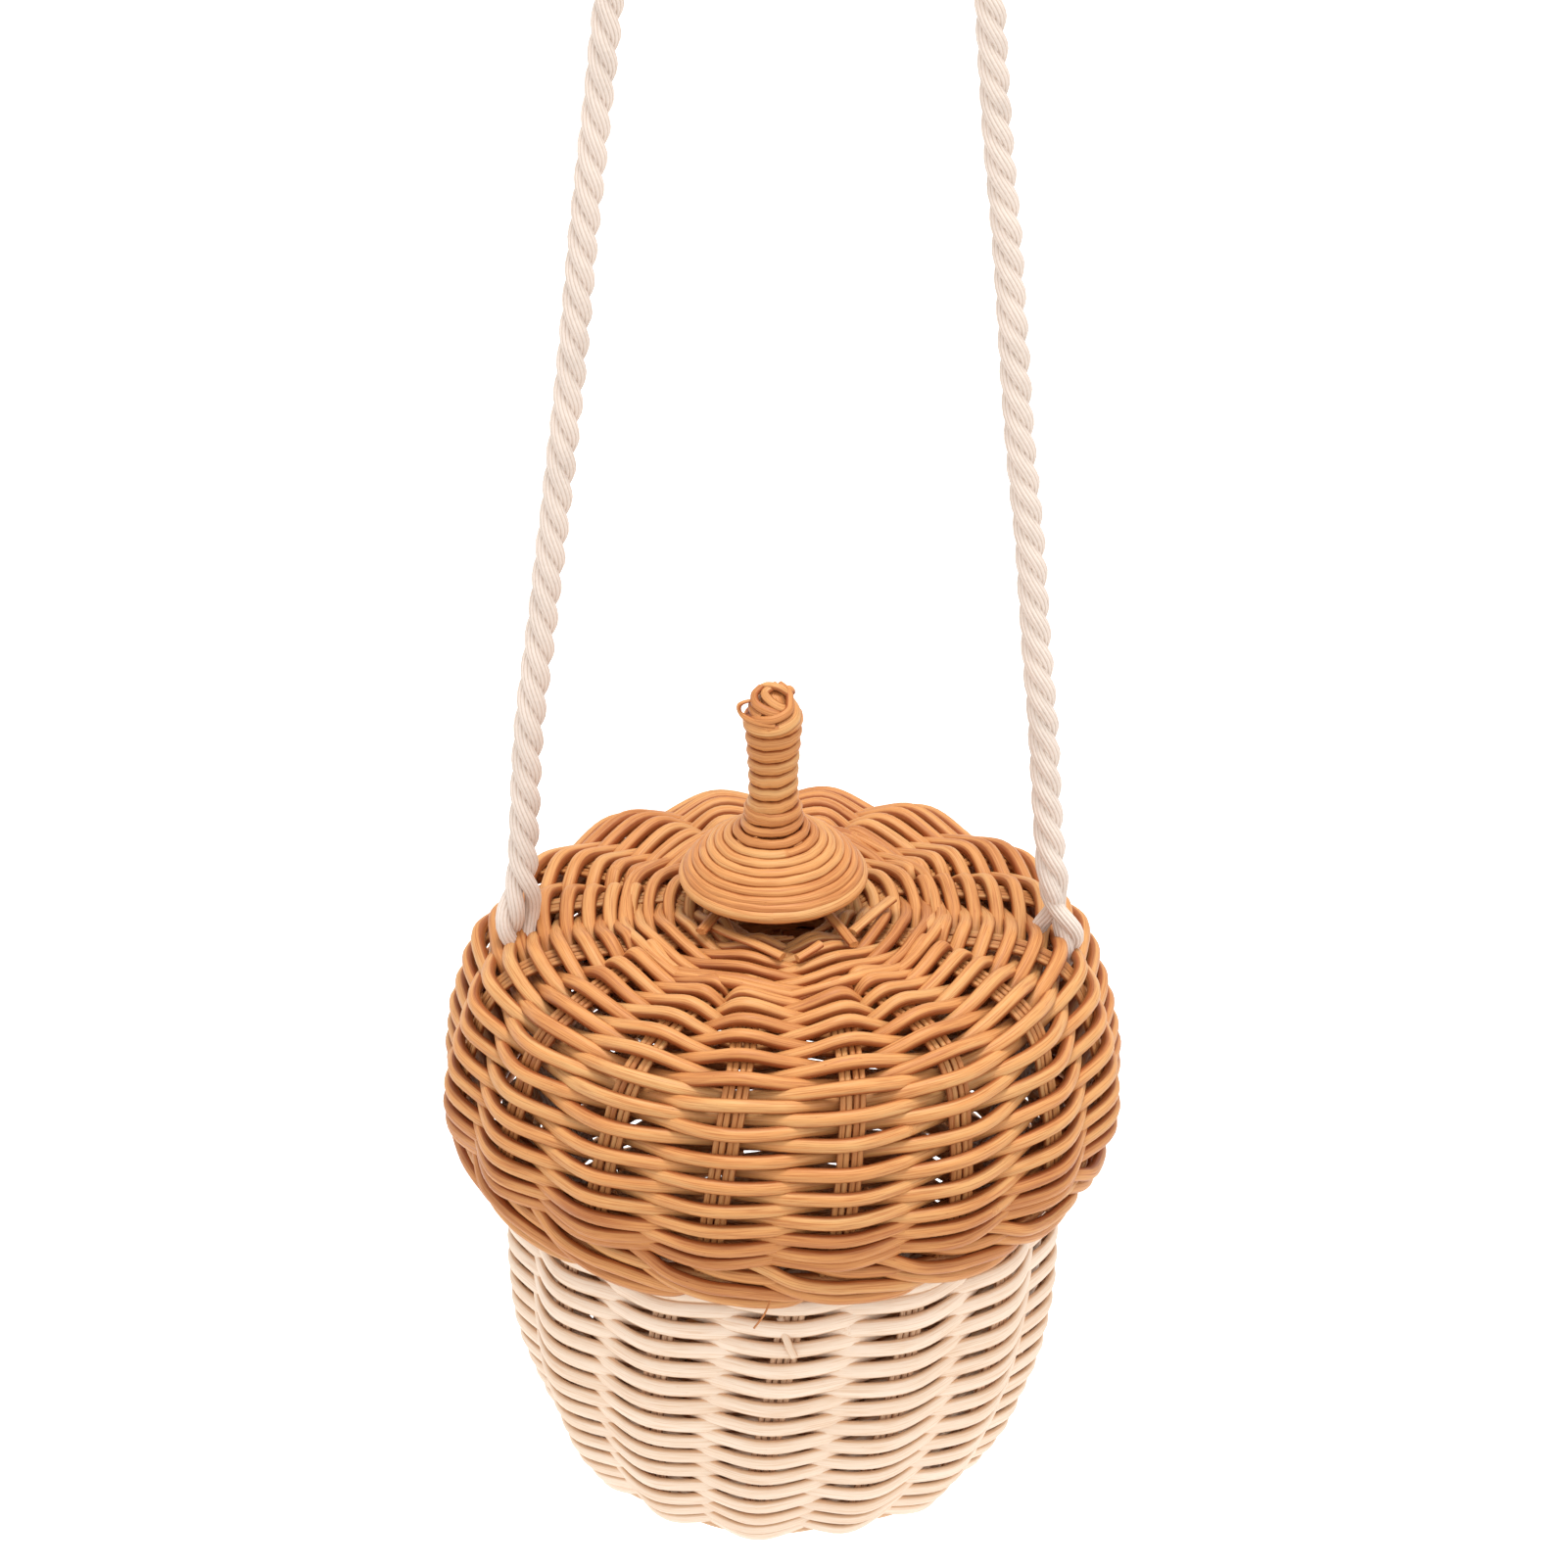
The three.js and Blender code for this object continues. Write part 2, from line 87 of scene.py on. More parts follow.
# Outside of the woven walls over a stake, as (radius, height)
BASE_OUTLINE = [
    (47.4, 0.6), (50.8, 5), (54.8, 11), (58.6, 20), (62.8, 32), (65.4, 46), (66.3, 62), (65.7, 77),
]
FLOOR_OUTLINE = [(13, 0.4), (25, 0.2), (43, 0)]
LID_OUTLINE = [
    (81.1, 95.4), (82, 100), (81.9, 106), (80.5, 116), (78.4, 124), (76.3, 132), (72.1, 139),
    (66.1, 143.5), (56.8, 147), (43.5, 149.1), (35.5, 149.7),
]
CROWN_OUTLINE = [(38, 149.7), (29, 150.4), (21, 150.4), (15.6, 149.6)]
LID_STAKE_OUTLINE = [(76.6, 86), (79.6, 91), *LID_OUTLINE, (27, 149.8), (18, 149.2), (0.5, 148.6)]

# Stem, whose axis stands a little to the left
STEM_PLACE = (-2.2, 0)
DISC_OUTLINE = [
    (21.2, 160), (19.4, 162.4), (16, 165.6), (12.3, 168.2), (9.4, 170.2), (7.6, 172.6), (6.9, 176),
]
DISC_EDGE = (20.9, 157.6)
STEM_OUTLINE = [(6.5, 175.4), (6.1, 180), (6.1, 186), (6.5, 192), (7.2, 200)]
CORE_OUTLINE = [
    (8.6, 150.6), (7.6, 157), (5.2, 164), (3.6, 171), (4, 198), (4.6, 202), (4.2, 205), (2.6, 207),
    (0.4, 207.6),
]

# Strands of a border as (place round the edge in stakes, radius, height)
LID_BORDER = [
    [(-0.75, 74.6, 95.4), (-0.53, 76.6, 93.6), (-0.29, 77.8, 90.4), (0, 77, 88), (0.25, 76.4, 87.2),
     (0.5, 75.2, 85.8), (0.65, 74.2, 84.8), (0.8, 72.6, 84.3), (1, 70.8, 85)],
    [(-0.75, 73.4, 92), (-0.5, 75, 89.4), (-0.25, 75.6, 86.6), (0, 74.8, 84.2), (0.25, 73.9, 83),
     (0.5, 73, 82.4), (0.68, 71.9, 82.4), (0.82, 70.3, 83.8), (0.95, 69, 86.6)],
    [(-0.4, 74.2, 97.4), (-0.15, 75.6, 94), (0.1, 75.8, 91.6), (0.4, 75.4, 90.4), (0.7, 74.6, 89.4),
     (1, 73.4, 88.4), (1.25, 72, 87.8)],
    [(-0.3, 72.4, 94), (0, 73.4, 90.6), (0.3, 73.2, 88.2), (0.6, 72.4, 86.8), (0.9, 71.4, 86),
     (1.15, 70.2, 86)],
]
RIM_BORDER = [
    (0, 64.5, 78.9), (0.35, 67, 81.5), (0.8, 67.2, 86.5), (1.2, 65, 90.3), (1.6, 62.3, 89.5),
    (1.95, 61.7, 85), (2.2, 62.2, 80.6),
]

# Canes of the knotted top as width and (across, away, height), measured from the stem's axis
KNOT_CANES = [
    (2.4, [(-2.8, 0.4, 208.4), (-4.4, -1, 207.3), (-4.3, -2.6, 205.8), (-2.8, -4, 205),
           (-0.2, -4.8, 204.2), (1.8, -4.4, 203.6), (3.2, -2.6, 202.4)]),
    (2.3, [(0.6, 0.6, 208.8), (-2, -1.4, 207.8), (-0.6, -3, 206.2), (1.4, -3.8, 205.2),
           (3, -3.4, 204.4), (4.2, -1.6, 203)]),
    (2.3, [(1.6, 1.4, 208.6), (3.6, -0.4, 207.6), (4, -2.4, 206), (3.6, -4.2, 204.4),
           (1.2, -5.6, 203.3), (-1.6, -5.8, 202.7), (-4.2, -4.4, 202.2), (-5.4, -1.6, 201.6)]),
    (3.3, [(4, 1.4, 204.6), (5.4, -1.2, 203.2), (5, -3.8, 202), (2.6, -5.8, 200.9),
           (-0.4, -6.4, 200.2), (-3.6, -5.4, 199.9), (-5.8, -2.8, 200), (-6, 1, 200.4),
           (-4, 4.6, 201), (0, 6.2, 201.6), (4, 4.8, 202), (5.6, 1, 201.4)]),
    (1.5, [(-3.4, -0.4, 205.2), (-6, -0.9, 205.2), (-7.9, -1.4, 204.6), (-8.1, -1.9, 203.3),
           (-7.2, -2.5, 202.2), (-5.4, -4, 201.8), (-2.8, -6, 201.9), (0.4, -6.4, 201.6)]),
    (2.4, [(2.8, -0.4, 208.2), (4.2, 1.2, 207.2), (4, 3, 205.6), (2.4, 4.4, 204.6),
           (0, 5, 203.8), (-2.4, 4.6, 203.2)]),
    (2.3, [(-0.6, -0.4, 208.8), (1.8, 1.8, 207.6), (0.4, 3.4, 206), (-1.6, 4, 205),
           (-3.6, 3.2, 204.2), (-4.8, 0.8, 203)]),
    (2.4, [(-4.6, 2, 203.8), (-5.1, -0.6, 203.9), (-4.4, -2.9, 203.4), (-2.8, -4.6, 203)]),
    (2.2, [(-3.6, 2, 206.8), (-1.6, 0.6, 208.6), (1.4, -0.6, 208.8), (3.6, -0.8, 207.2)]),
]

# Ends of reeds that show, as width and (across, away, height)
CROWN_ENDS = [
    (2.9, [(-14.5, -7, 151.8), (-16.5, -10.8, 151.6), (-19.3, -16.8, 151.2)]),
    (2.9, [(-17, -12.5, 150.4), (-12, -18, 151), (-6, -22.5, 150.9), (0, -26.5, 150)]),
    (2.7, [(10, -6, 152), (11.4, -10.4, 151.6), (14, -15.5, 151.2), (17, -21.5, 150.4)]),
    (2.9, [(26, -1, 151), (21.5, -9, 151.6), (16.5, -16.6, 151)]),
    (2.6, [(3.5, -28, 150.4), (7.2, -26, 151.8), (9, -24.6, 152.4)]),
]
BASE_ENDS = [(1.9, [(-0.6, -62.8, 72), (0.4, -65.4, 69.2), (1.7, -66.9, 66), (2.8, -67, 63.6)])]
BORDER_ENDS = [(0.5, [(-2.6, -75.6, 85), (-4.4, -77.4, 81.4), (-6.8, -77.2, 77.6)])]

PAIR_DISTANCE = 11 * MM  # half the distance between two parallel stakes near the lid's crown
CROSSING_RADIUS = 24 * MM  # within which the lid's stakes lie over each other

# Shares of a rope's thickness: from its middle to each strand's, and half a strand's thickness
STRAND_PLACE = 0.245
STRAND_RADIUS = 0.272
PARTING_REACH = 9 * MM  # up and down from the height where a rope parts

CAMERA_AIM = (0.35 * MM, 0, up(182))
CAMERA_TILT = math.radians(30)
CAMERA_DISTANCE = 8
CAMERA_LENS = 773.6
FLOOR_HEIGHT = up(-260)
FLOOR_REACH = 6
FLOOR_GLOW = 0.62
WORLD_LIGHT = 0.88  # the world's strength for all rays but those that show it


# Sizes and colours


def count(name, description, default):
    return IntProperty(name=name, description=description, default=default, min=3)


def measure(name, description, default, **more):
    return FloatProperty(name=name, description=description, default=default, precision=4, **more)


def length(name, description, default):
    return measure(name, description, default * MM, min=0, unit="LENGTH", subtype="DISTANCE")


def colour(name, description, default):
    return FloatVectorProperty(
        name=name, description=description, default=default, size=3, min=0, max=1,
        subtype="COLOR",
    )


class BaseSizes(bpy.types.PropertyGroup):
    """Sizes of the base's weave"""

    stakes: count("Stakes", "Stakes round the base", 13)
    lean: measure("Lean", "Turn of a stake to the right for each metre upwards", 2.5)
    level: measure("Level", "Height at which the stakes stand evenly", up(59), unit="LENGTH")
    rows: count("Rows", "Rows of weavers", 30)
    reed_width: length("Reed width", "Width of a weaver along the wall", 4.3)
    reed_thickness: length("Reed thickness", "Thickness of a weaver through the wall", 2.3)
    stake_reed: length("Stake reed", "Diameter of one thin reed of a stake", 1.5)


class LidSizes(bpy.types.PropertyGroup):
    """Sizes of the lid's weave"""

    stakes: count("Stakes", "Stakes round the lid", 16)
    lean: measure("Lean", "Turn of a stake to the right for each metre upwards", 1.6)
    level: measure("Level", "Height at which the stakes stand evenly", up(114), unit="LENGTH")
    rows: count("Rows", "Rows of weavers", 30)
    reed_width: length("Reed width", "Width of a weaver along the wall", 3.65)
    reed_thickness: length("Reed thickness", "Thickness of a weaver through the wall", 3.3)
    stake_reed: length("Stake reed", "Diameter of one thin reed of a stake", 1.5)


class StrapSizes(bpy.types.PropertyGroup):
    """Sizes of the rope strap"""

    diameter: length("Diameter", "Diameter of the rope", 7.4)
    lay: length("Lay", "Length of one turn of a strand", 25)


class BagColours(bpy.types.PropertyGroup):
    """Colours of the bag's materials"""

    caramel: colour("Caramel", "Stained rattan of the lid", (0.6, 0.265, 0.085))
    cream: colour("Cream", "Peeled rattan of the base", (0.82, 0.65, 0.505))
    cotton: colour("Cotton", "Rope of the strap", (0.75, 0.64, 0.56))


class BagSettings(bpy.types.PropertyGroup):
    """Everything about the bag that a user would change"""

    base: PointerProperty(type=BaseSizes)
    lid: PointerProperty(type=LidSizes)
    strap: PointerProperty(type=StrapSizes)
    colours: PointerProperty(type=BagColours)


# Node trees


class Field:
    """A value of a node tree, which plain arithmetic extends with further nodes"""

    def __init__(self, tree, socket):
        self.tree = tree
        self.socket = socket

    def maths(self, operation, *others):
        return self.tree.get("ShaderNodeMath", [self, *others], operation=operation)

    def __add__(self, other):
        return self.maths("ADD", other)

    def __mul__(self, other):
        return self.maths("MULTIPLY", other)

    __radd__ = __add__
    __rmul__ = __mul__

    def __sub__(self, other):
        return self.maths("SUBTRACT", other)

    def __rsub__(self, other):
        return self.maths("MULTIPLY", -1).maths("ADD", other)

    def __truediv__(self, other):
        return self.maths("DIVIDE", other)

    def __rtruediv__(self, other):
        return self.maths("POWER", -1).maths("MULTIPLY", other)

    def __pow__(self, other):
        return self.maths("POWER", other)

    def sin(self):
        return self.maths("SINE")

    def cos(self):
        return self.maths("COSINE")

    def floor(self):
        return self.maths("FLOOR")

    def size(self):
        return self.maths("ABSOLUTE")

    def sign(self):
        return self.maths("SIGN")

    def bell(self):
        """1 at zero, falling smoothly to nothing on both sides"""
        return (self * self * -1).maths("EXPONENT")


class Tree:
    """A node tree under construction"""

    def __init__(self, tree):
        self.tree = tree

    def add(self, kind, values=(), **settings):
        """Puts in one node. Its inputs are given in order, or by name in a dict."""
        node = self.tree.nodes.new(kind)
        for name, value in settings.items():
            setattr(node, name, value)
        pairs = values.items() if isinstance(values, dict) else enumerate(values)
        for key, value in pairs:
            socket = node.inputs[key]
            if isinstance(value, Field):
                self.tree.links.new(value.socket, socket)
            elif value is not None:
                socket.default_value = value
        return node

    def get(self, kind, values=(), output=0, **settings):
        """Puts in one node and returns one of its outputs"""
        return Field(self, self.add(kind, values, **settings).outputs[output])

    def vector(self, x, y, z):
        return self.get("ShaderNodeCombineXYZ", [x, y, z])

    def parts(self, vector):
        node = self.add("ShaderNodeSeparateXYZ", [vector])
        return [Field(self, socket) for socket in node.outputs]

    def noise(self, x, y, z):
        """Smooth noise between about -1 and 1"""
        return self.noise_at(self.vector(x, y, z), 1) * 2 - 1

    def noise_at(self, vector, scale, detail=0, roughness=0.5):
        """Smooth noise between 0 and 1"""
        values = {"Vector": vector, "Scale": scale, "Detail": detail, "Roughness": roughness}
        return self.get("ShaderNodeTexNoise", values)

    def link(self, value, node, name):
        self.tree.links.new(value.socket, node.inputs[name])

    def here(self):
        """Coordinates of the point itself"""
        return self.parts(self.get("GeometryNodeInputPosition"))

    def along(self):
        """Distance of the point along its curve"""
        return self.get("GeometryNodeSplineParameter", output=1)

    def moved(self, geometry, x, y, z):
        values = {"Geometry": geometry, "Position": self.vector(x, y, z)}
        return self.get("GeometryNodeSetPosition", values)

    def resampled(self, line, step):
        """Curve along a line, with points at this distance from each other"""
        curve = self.get("GeometryNodeMeshToCurve", [line])
        values = {"Curve": curve, "Length": step}
        return self.get("GeometryNodeResampleCurve", values, mode="LENGTH")


def geometry_tree(name, inputs):
    """A new tree with a line as its geometry, and its named inputs as fields"""
    group = bpy.data.node_groups.new(name, "GeometryNodeTree")
    face = group.interface
    face.new_socket("Line", in_out="INPUT", socket_type="NodeSocketGeometry")
    for label, default in inputs.items():
        kind = "NodeSocketMaterial" if default is None else "NodeSocketFloat"
        socket = face.new_socket(label, in_out="INPUT", socket_type=kind)
        if default is not None:
            socket.default_value = default
    face.new_socket("Mesh", in_out="OUTPUT", socket_type="NodeSocketGeometry")
    tree = Tree(group)
    node = group.nodes.new("NodeGroupInput")
    given = {socket.name: Field(tree, socket) for socket in node.outputs if socket.name}
    return tree, given


def section(tree, given):
    """Round section for a tree's curves, with the place of its points"""
    x, y, _ = tree.here()
    values = {"Resolution": given["Sides"], "Radius": 1}
    return tree.get("GeometryNodeCurvePrimitiveCircle", values), x, y


def close_tree(tree, given, curve, ring, scale=1):
    """Ends a geometry tree: real tubes along the curves, smooth, with their material"""
    values = {"Curve": curve, "Profile Curve": ring, "Scale": scale, "Fill Caps": True}
    mesh = tree.get("GeometryNodeCurveToMesh", values)
    mesh = tree.get("GeometryNodeRealizeInstances", [mesh])
    mesh = tree.get("GeometryNodeSetShadeSmooth", {"Geometry": mesh, "Shade Smooth": True})
    values = {"Geometry": mesh, "Material": given["Material"]}
    tree.add("NodeGroupOutput", [tree.get("GeometryNodeSetMaterial", values)])
    return tree.tree


def store(tree, geometry, name, value, kind="FLOAT"):
    """Keeps a value on the geometry's points under a name"""
    values = {"Geometry": geometry, "Name": name, "Value": value}
    return tree.get("GeometryNodeStoreNamedAttribute", values, data_type=kind, domain="POINT")


def kept(tree, name, kind="FLOAT_VECTOR"):
    """A value that was stored on the points under this name"""
    return tree.get("GeometryNodeInputNamedAttribute", {"Name": name}, data_type=kind)


def strands(tree, count, copies):
    """Straight curves of count points each, with the number of the copy and of the point"""
    line = tree.get("GeometryNodeMeshLine", {"Count": count, "Offset": (0, 0, 0.001)})
    curve = tree.get("GeometryNodeMeshToCurve", [line])
    values = {"Geometry": curve, "Amount": copies}
    node = tree.add("GeometryNodeDuplicateElements", values, domain="SPLINE")
    index = tree.get("GeometryNodeSplineParameter", output=2)
    return Field(tree, node.outputs[0]), Field(tree, node.outputs[1]), index


def line_at(tree, line, share):
    """Place and direction of the given line at a share of its length"""
    curve = tree.get("GeometryNodeMeshToCurve", [line])
    node = tree.add("GeometryNodeSampleCurve", {"Curves": curve, "Factor": share}, mode="FACTOR")
    return [tree.parts(Field(tree, node.outputs[name])) for name in ("Position", "Tangent")]


def outline_at(tree, line, share):
    """Radius, height and outward direction of the given outline at a share of its length"""
    (radius, _, height), (along, _, rise) = line_at(tree, line, share)
    return radius, height, rise, -1 * along


def scattered(number):
    """A value between 0 and 1 for each number, in no visible order"""
    return (number.sin() * 43758.5453).maths("FRACT")


def clusters(tree, given):
    """Curves in a cluster at each stake, with their numbers and how far along a point lies"""
    curve, copy, index = strands(tree, given["Points"], given["Stakes"] * given["Reeds"])
    stake = ((copy + 0.5) / given["Reeds"]).floor()
    number = copy - stake * given["Reeds"]
    curve = store(tree, curve, "reed", scattered(copy * 12.9898 + given["Seed"]))
    return curve, copy, stake, number, index / (given["Points"] - 1)


def close_reeds(tree, given, curve, normal, thickness, width, scale=1):
    """Ends a tree with reeds along the curves, whose oval section is thin along the normal"""
    curve = store(tree, curve, "along", tree.along())
    values = {"Curve": curve, "Normal": normal}
    curve = tree.get("GeometryNodeSetCurveNormal", values, mode="FREE")
    ring, x, y = section(tree, given)
    ring = store(tree, store(tree, ring, "outward", x), "beside", y)
    ring = tree.moved(ring, x * thickness / 2, y * width / 2, 0)
    return close_tree(tree, given, curve, ring, scale)


def pair_place(given, radius):
    """Half the angle between two stakes, and how far a stake stands beside and along their middle

    Near the crown the stakes run two by two at a steady distance.
    """
    half = math.pi / given["Stakes"]
    beside = ((radius * half.sin()) ** 6 + given["Pair Distance"] ** 6) ** (1 / 6)
    return half, beside, radius * half.cos()


def stakes_turn(given, angle, radius, height):
    """Azimuth of a point that stands at this angle when the stakes are spread evenly

    The stakes lean, and where they run two by two they turn away from the middle of their pair.
    """
    half, beside, middle = pair_place(given, radius)
    turned = beside.maths("ARCTAN2", middle) - half
    lean = given["Lean"] * (height - given["Level"])
    wave = (given["Stakes"] / 2 * (angle + half)).sin()
    return angle + turned * wave * -1 + lean + given["First Stake"]


def weave_tree():
    """Weavers that climb round a turned wall, by turns outside and inside its stakes

    Each keeps level in its first turn and, unless told otherwise, in its last.
    """
    tree, given = geometry_tree("Weave", {
        "Stakes": 13, "First Stake": 0, "Lean": 0, "Level": 0, "Pair Distance": 0, "Rows": 32,
        "Starts": 1, "Start Turn": 0, "Steps": 12, "Spread": 0, "Reed Width": 0.003,
        "Reed Thickness": 0.002, "Swing": 0.002, "Waver": 0.0003, "Sides": 10, "Seed": 1,
        "Uneven": 0.1, "Level End": 1, "Material": None,
    })
    stakes, rows, starts, seed = (given[k] for k in ("Stakes", "Rows", "Starts", "Seed"))
    per_turn = stakes * given["Steps"]
    curve, start, index = strands(tree, rows / starts * per_turn + 1, starts)
    turn = index / per_turn
    row = turn * starts + start
    turn = turn + given["Start Turn"]
    level = 1 + given["Level End"]
    share = ((row - starts) / (rows - starts * level)).maths("MAXIMUM", 0).maths("MINIMUM", 1)
    share = share - given["Spread"] / TAU * (share * TAU).sin()
    radius, height, out, rise = outline_at(tree, given["Line"], share)
    azimuth = stakes_turn(given, turn * TAU, radius, height)

    phase = (turn * stakes + start + 1) * math.pi
    wave = (phase.cos() + (phase * 3).cos() * 0.06) / 1.06
    x, y = azimuth.cos(), azimuth.sin()
    shared = tree.noise(x * 2.2, y * 2.2, row * 0.16 + seed * 7.3)
    own = tree.noise(x * 4, y * 4, row * 2.7 + seed * 3.1)
    depth = tree.noise(x * 5, y * 5, row * 1.9 + seed * 5.7)
    aside = given["Waver"] * (shared * 1.2 + own)
    inset = given["Reed Thickness"] * -0.5 - given["Swing"] * (1 - wave)
    inset = inset + given["Waver"] * depth * 0.7
    radius = radius + out * inset - rise * aside
    height = height + rise * inset + out * aside
    curve = tree.moved(curve, radius * y, radius * x * -1, height)

    # A new reed follows every few turns
    piece = (turn / 3.3 + start * 0.5 + seed * 0.37).floor()
    curve = store(tree, curve, "reed", scattered(piece * 12.9898 + start * 4.1 + seed))
    normal = tree.vector(out * y, out * x * -1, rise)
    scale = 1 + tree.noise(azimuth * 1.7, row * 3.3, seed) * given["Uneven"]
    width = given["Reed Width"]
    return close_reeds(tree, given, curve, normal, given["Reed Thickness"], width, scale)


def stake_tree():
    """Stakes of a turned wall, each a flat cluster of thin reeds"""
    tree, given = geometry_tree("Stakes", {
        "Stakes": 13, "First Stake": 0, "Lean": 0, "Level": 0, "Pair Distance": 0, "Layer": 0,
        "Reeds": 4, "Reed": 0.0015, "Slit": 0.0004, "Depth": 0.004, "From": 0, "To": 1,
        "Points": 60, "Sides": 8, "Waver": 0.0002, "Seed": 1, "Material": None,
    })
    seed = given["Seed"]
    curve, copy, stake, number, share = clusters(tree, given)
    number = number - (given["Reeds"] - 1) / 2
    share = given["From"] + (given["To"] - given["From"]) * share
    radius, height, out, rise = outline_at(tree, given["Line"], share)
    azimuth = stakes_turn(given, stake / given["Stakes"] * TAU, radius, height)
    _, beside, middle = pair_place(given, radius)
    reach = (beside * beside + middle ** 2) ** 0.5
    wander = tree.noise(share * 9, copy * 3.7, seed) * given["Waver"]
    lift = tree.noise(share * 11, copy * 5.3, seed + 4) * given["Waver"]
    across = number * given["Reed"] + number.sign() * given["Slit"] / 2 + wander

    # Where the stakes cross, they lie over each other in four layers
    layer = ((stake + 1) / 2).floor()
    layer = layer - (layer / 4).floor() * 4 - 1.5
    close = 1 / (1 + (radius / CROSSING_RADIUS) ** 6)
    inset = lift - given["Depth"]
    radius = reach + out * inset
    height = height + rise * inset + layer * given["Layer"] * close
    x, y = azimuth.cos(), azimuth.sin()
    curve = tree.moved(curve, radius * y + across * x, across * y - radius * x, height)
    normal = tree.vector(out * y, out * x * -1, rise)
    return close_reeds(tree, given, curve, normal, given["Reed"] * 0.92, given["Reed"] * 1.08)


def border_tree():
    """Strands that leave each stake and follow one path along an edge

    The line holds the path as (radius, place round the edge in stakes, height).
    """
    tree, given = geometry_tree("Border", {
        "Stakes": 16, "First Stake": 0, "Reeds": 1, "Reed": 0.0033, "Fan": 0, "Points": 48,
        "Sides": 12, "Waver": 0.0003, "Seed": 1, "Material": None,
    })
    seed = given["Seed"]
    curve, copy, stake, number, share = clusters(tree, given)
    (radius, turned, height), _ = line_at(tree, given["Line"], share)
    own = tree.noise(share * 3, copy * 7.1, seed)
    other = tree.noise(share * 3, copy * 5.3, seed + 9)
    turned = stake + turned * 100 + number * given["Fan"]
    azimuth = given["First Stake"] + turned / given["Stakes"] * TAU
    radius = radius + own * given["Waver"]
    height = height + other * given["Waver"]
    x, y = azimuth.cos(), azimuth.sin()
    curve = tree.moved(curve, radius * y, radius * x * -1, height)
    normal = tree.vector(y, x * -1, 0)
    return close_reeds(tree, given, curve, normal, given["Reed"] * 0.94, given["Reed"] * 1.04)


def cane_tree():
    """A flat cane along each line, whose flat side faces away from the axis and upwards"""
    tree, given = geometry_tree("Canes", {
        "Width": 0.0023, "Thickness": 0.0015, "Sides": 10, "Step": 0.0006, "Rise": 0.004,
        "Seed": 1, "Material": None,
    })
    curve = tree.resampled(given["Line"], given["Step"])
    curve = store(tree, curve, "reed", (given["Seed"] * 0.618).maths("FRACT"))
    x, y, _ = tree.here()
    normal = tree.vector(x, y, given["Rise"])
    scale = 1 + tree.noise(tree.along() * 160, given["Seed"], 0) * 0.08
    return close_reeds(tree, given, curve, normal, given["Thickness"], given["Width"], scale)


def rope_tree():
    """Rope of twisted strands along a line, each strand of twisted yarns"""
    tree, given = geometry_tree("Rope", {
        "Diameter": 0.0074, "Lay": 0.025, "Strands": 3, "Yarns": 12, "Yarn Lay": 0.027,
        "Yarn Depth": 0.1, "Step": 0.0018, "Sides": 48, "Parting": 0, "Parting Height": 0,
        "Seed": 1, "Material": None,
    })
    strand_count, seed = given["Strands"], given["Seed"]
    line = tree.resampled(given["Line"], given["Step"])
    tangent = tree.get("GeometryNodeInputTangent")
    across = tree.get("GeometryNodeInputNormal")
    line = store(tree, line, "first", across, "FLOAT_VECTOR")
    side = tree.get("ShaderNodeVectorMath", [tangent, across], operation="CROSS_PRODUCT")
    line = store(tree, line, "second", side, "FLOAT_VECTOR")
    values = {"Geometry": line, "Amount": strand_count}
    node = tree.add("GeometryNodeDuplicateElements", values, domain="SPLINE")
    curve, strand = (Field(tree, socket) for socket in node.outputs)
    along = tree.along()
    turn = strand / strand_count - along / given["Lay"]
    angle = (turn + tree.noise(along * 14, 0, seed) * 0.05) * TAU
    first = tree.parts(kept(tree, "first"))
    second = tree.parts(kept(tree, "second"))
    outward = [a * angle.cos() + b * angle.sin() for a, b in zip(first, second)]
    uneven = 1 + tree.noise(along * 60, strand * 5, seed) * 0.05
    reach = given["Diameter"] * STRAND_PLACE * uneven

    # The rope parts into two tails where a weaver passes between them
    x, y, z = tree.here()
    parted = ((z - given["Parting Height"]) / PARTING_REACH).bell() * given["Parting"]
    tail = ((strand - 1).size() * 2 - 1) * x.sign()
    here = (x + parted * tail, y, z)
    place = [a + b * reach for a, b in zip(here, outward)]
    curve = store(tree, curve, "outward", tree.vector(*outward), "FLOAT_VECTOR")
    curve = store(tree, curve, "along", along)
    curve = store(tree, curve, "reed", strand / strand_count)
    curve = tree.moved(curve, *place)
    values = {"Curve": curve, "Normal": kept(tree, "outward")}
    curve = tree.get("GeometryNodeSetCurveNormal", values, mode="FREE")
    values = {"Curve": curve, "Tilt": kept(tree, "along", "FLOAT") / given["Yarn Lay"] * TAU}
    curve = tree.get("GeometryNodeSetCurveTilt", values)

    ring, x, y = section(tree, given)
    around = tree.get("GeometryNodeSplineParameter", output=0)
    lobe = (around * given["Yarns"] * math.pi).cos().size()
    ring = store(tree, ring, "lobe", lobe)
    thick = given["Diameter"] * STRAND_RADIUS * (1 - given["Yarn Depth"] * (1 - lobe))
    return close_tree(tree, given, curve, tree.moved(ring, x * thick, y * thick, 0))


def smooth(points, steps=8):
    """Points of a Catmull-Rom curve through the given ones"""
    points = [Vector(point) for point in points]
    ends = [points[0] * 2 - points[1], *points, points[-1] * 2 - points[-2]]
    path = []
    for a, b, c, d in zip(ends, ends[1:], ends[2:], ends[3:]):
        for step in range(steps):
            t = step / steps
            path.append(
                (b * 2 + (c - a) * t + (a * 2 - b * 5 + c * 4 - d) * t**2
                 + (b * 3 - a - c * 3 + d) * t**3) / 2
            )
    return [*path, points[-1]]


def placed(outline):
    """Points in metres in the object's frame from (across, height) pairs in millimetres"""
    return [(across * MM, 0, up(height)) for across, height in outline]


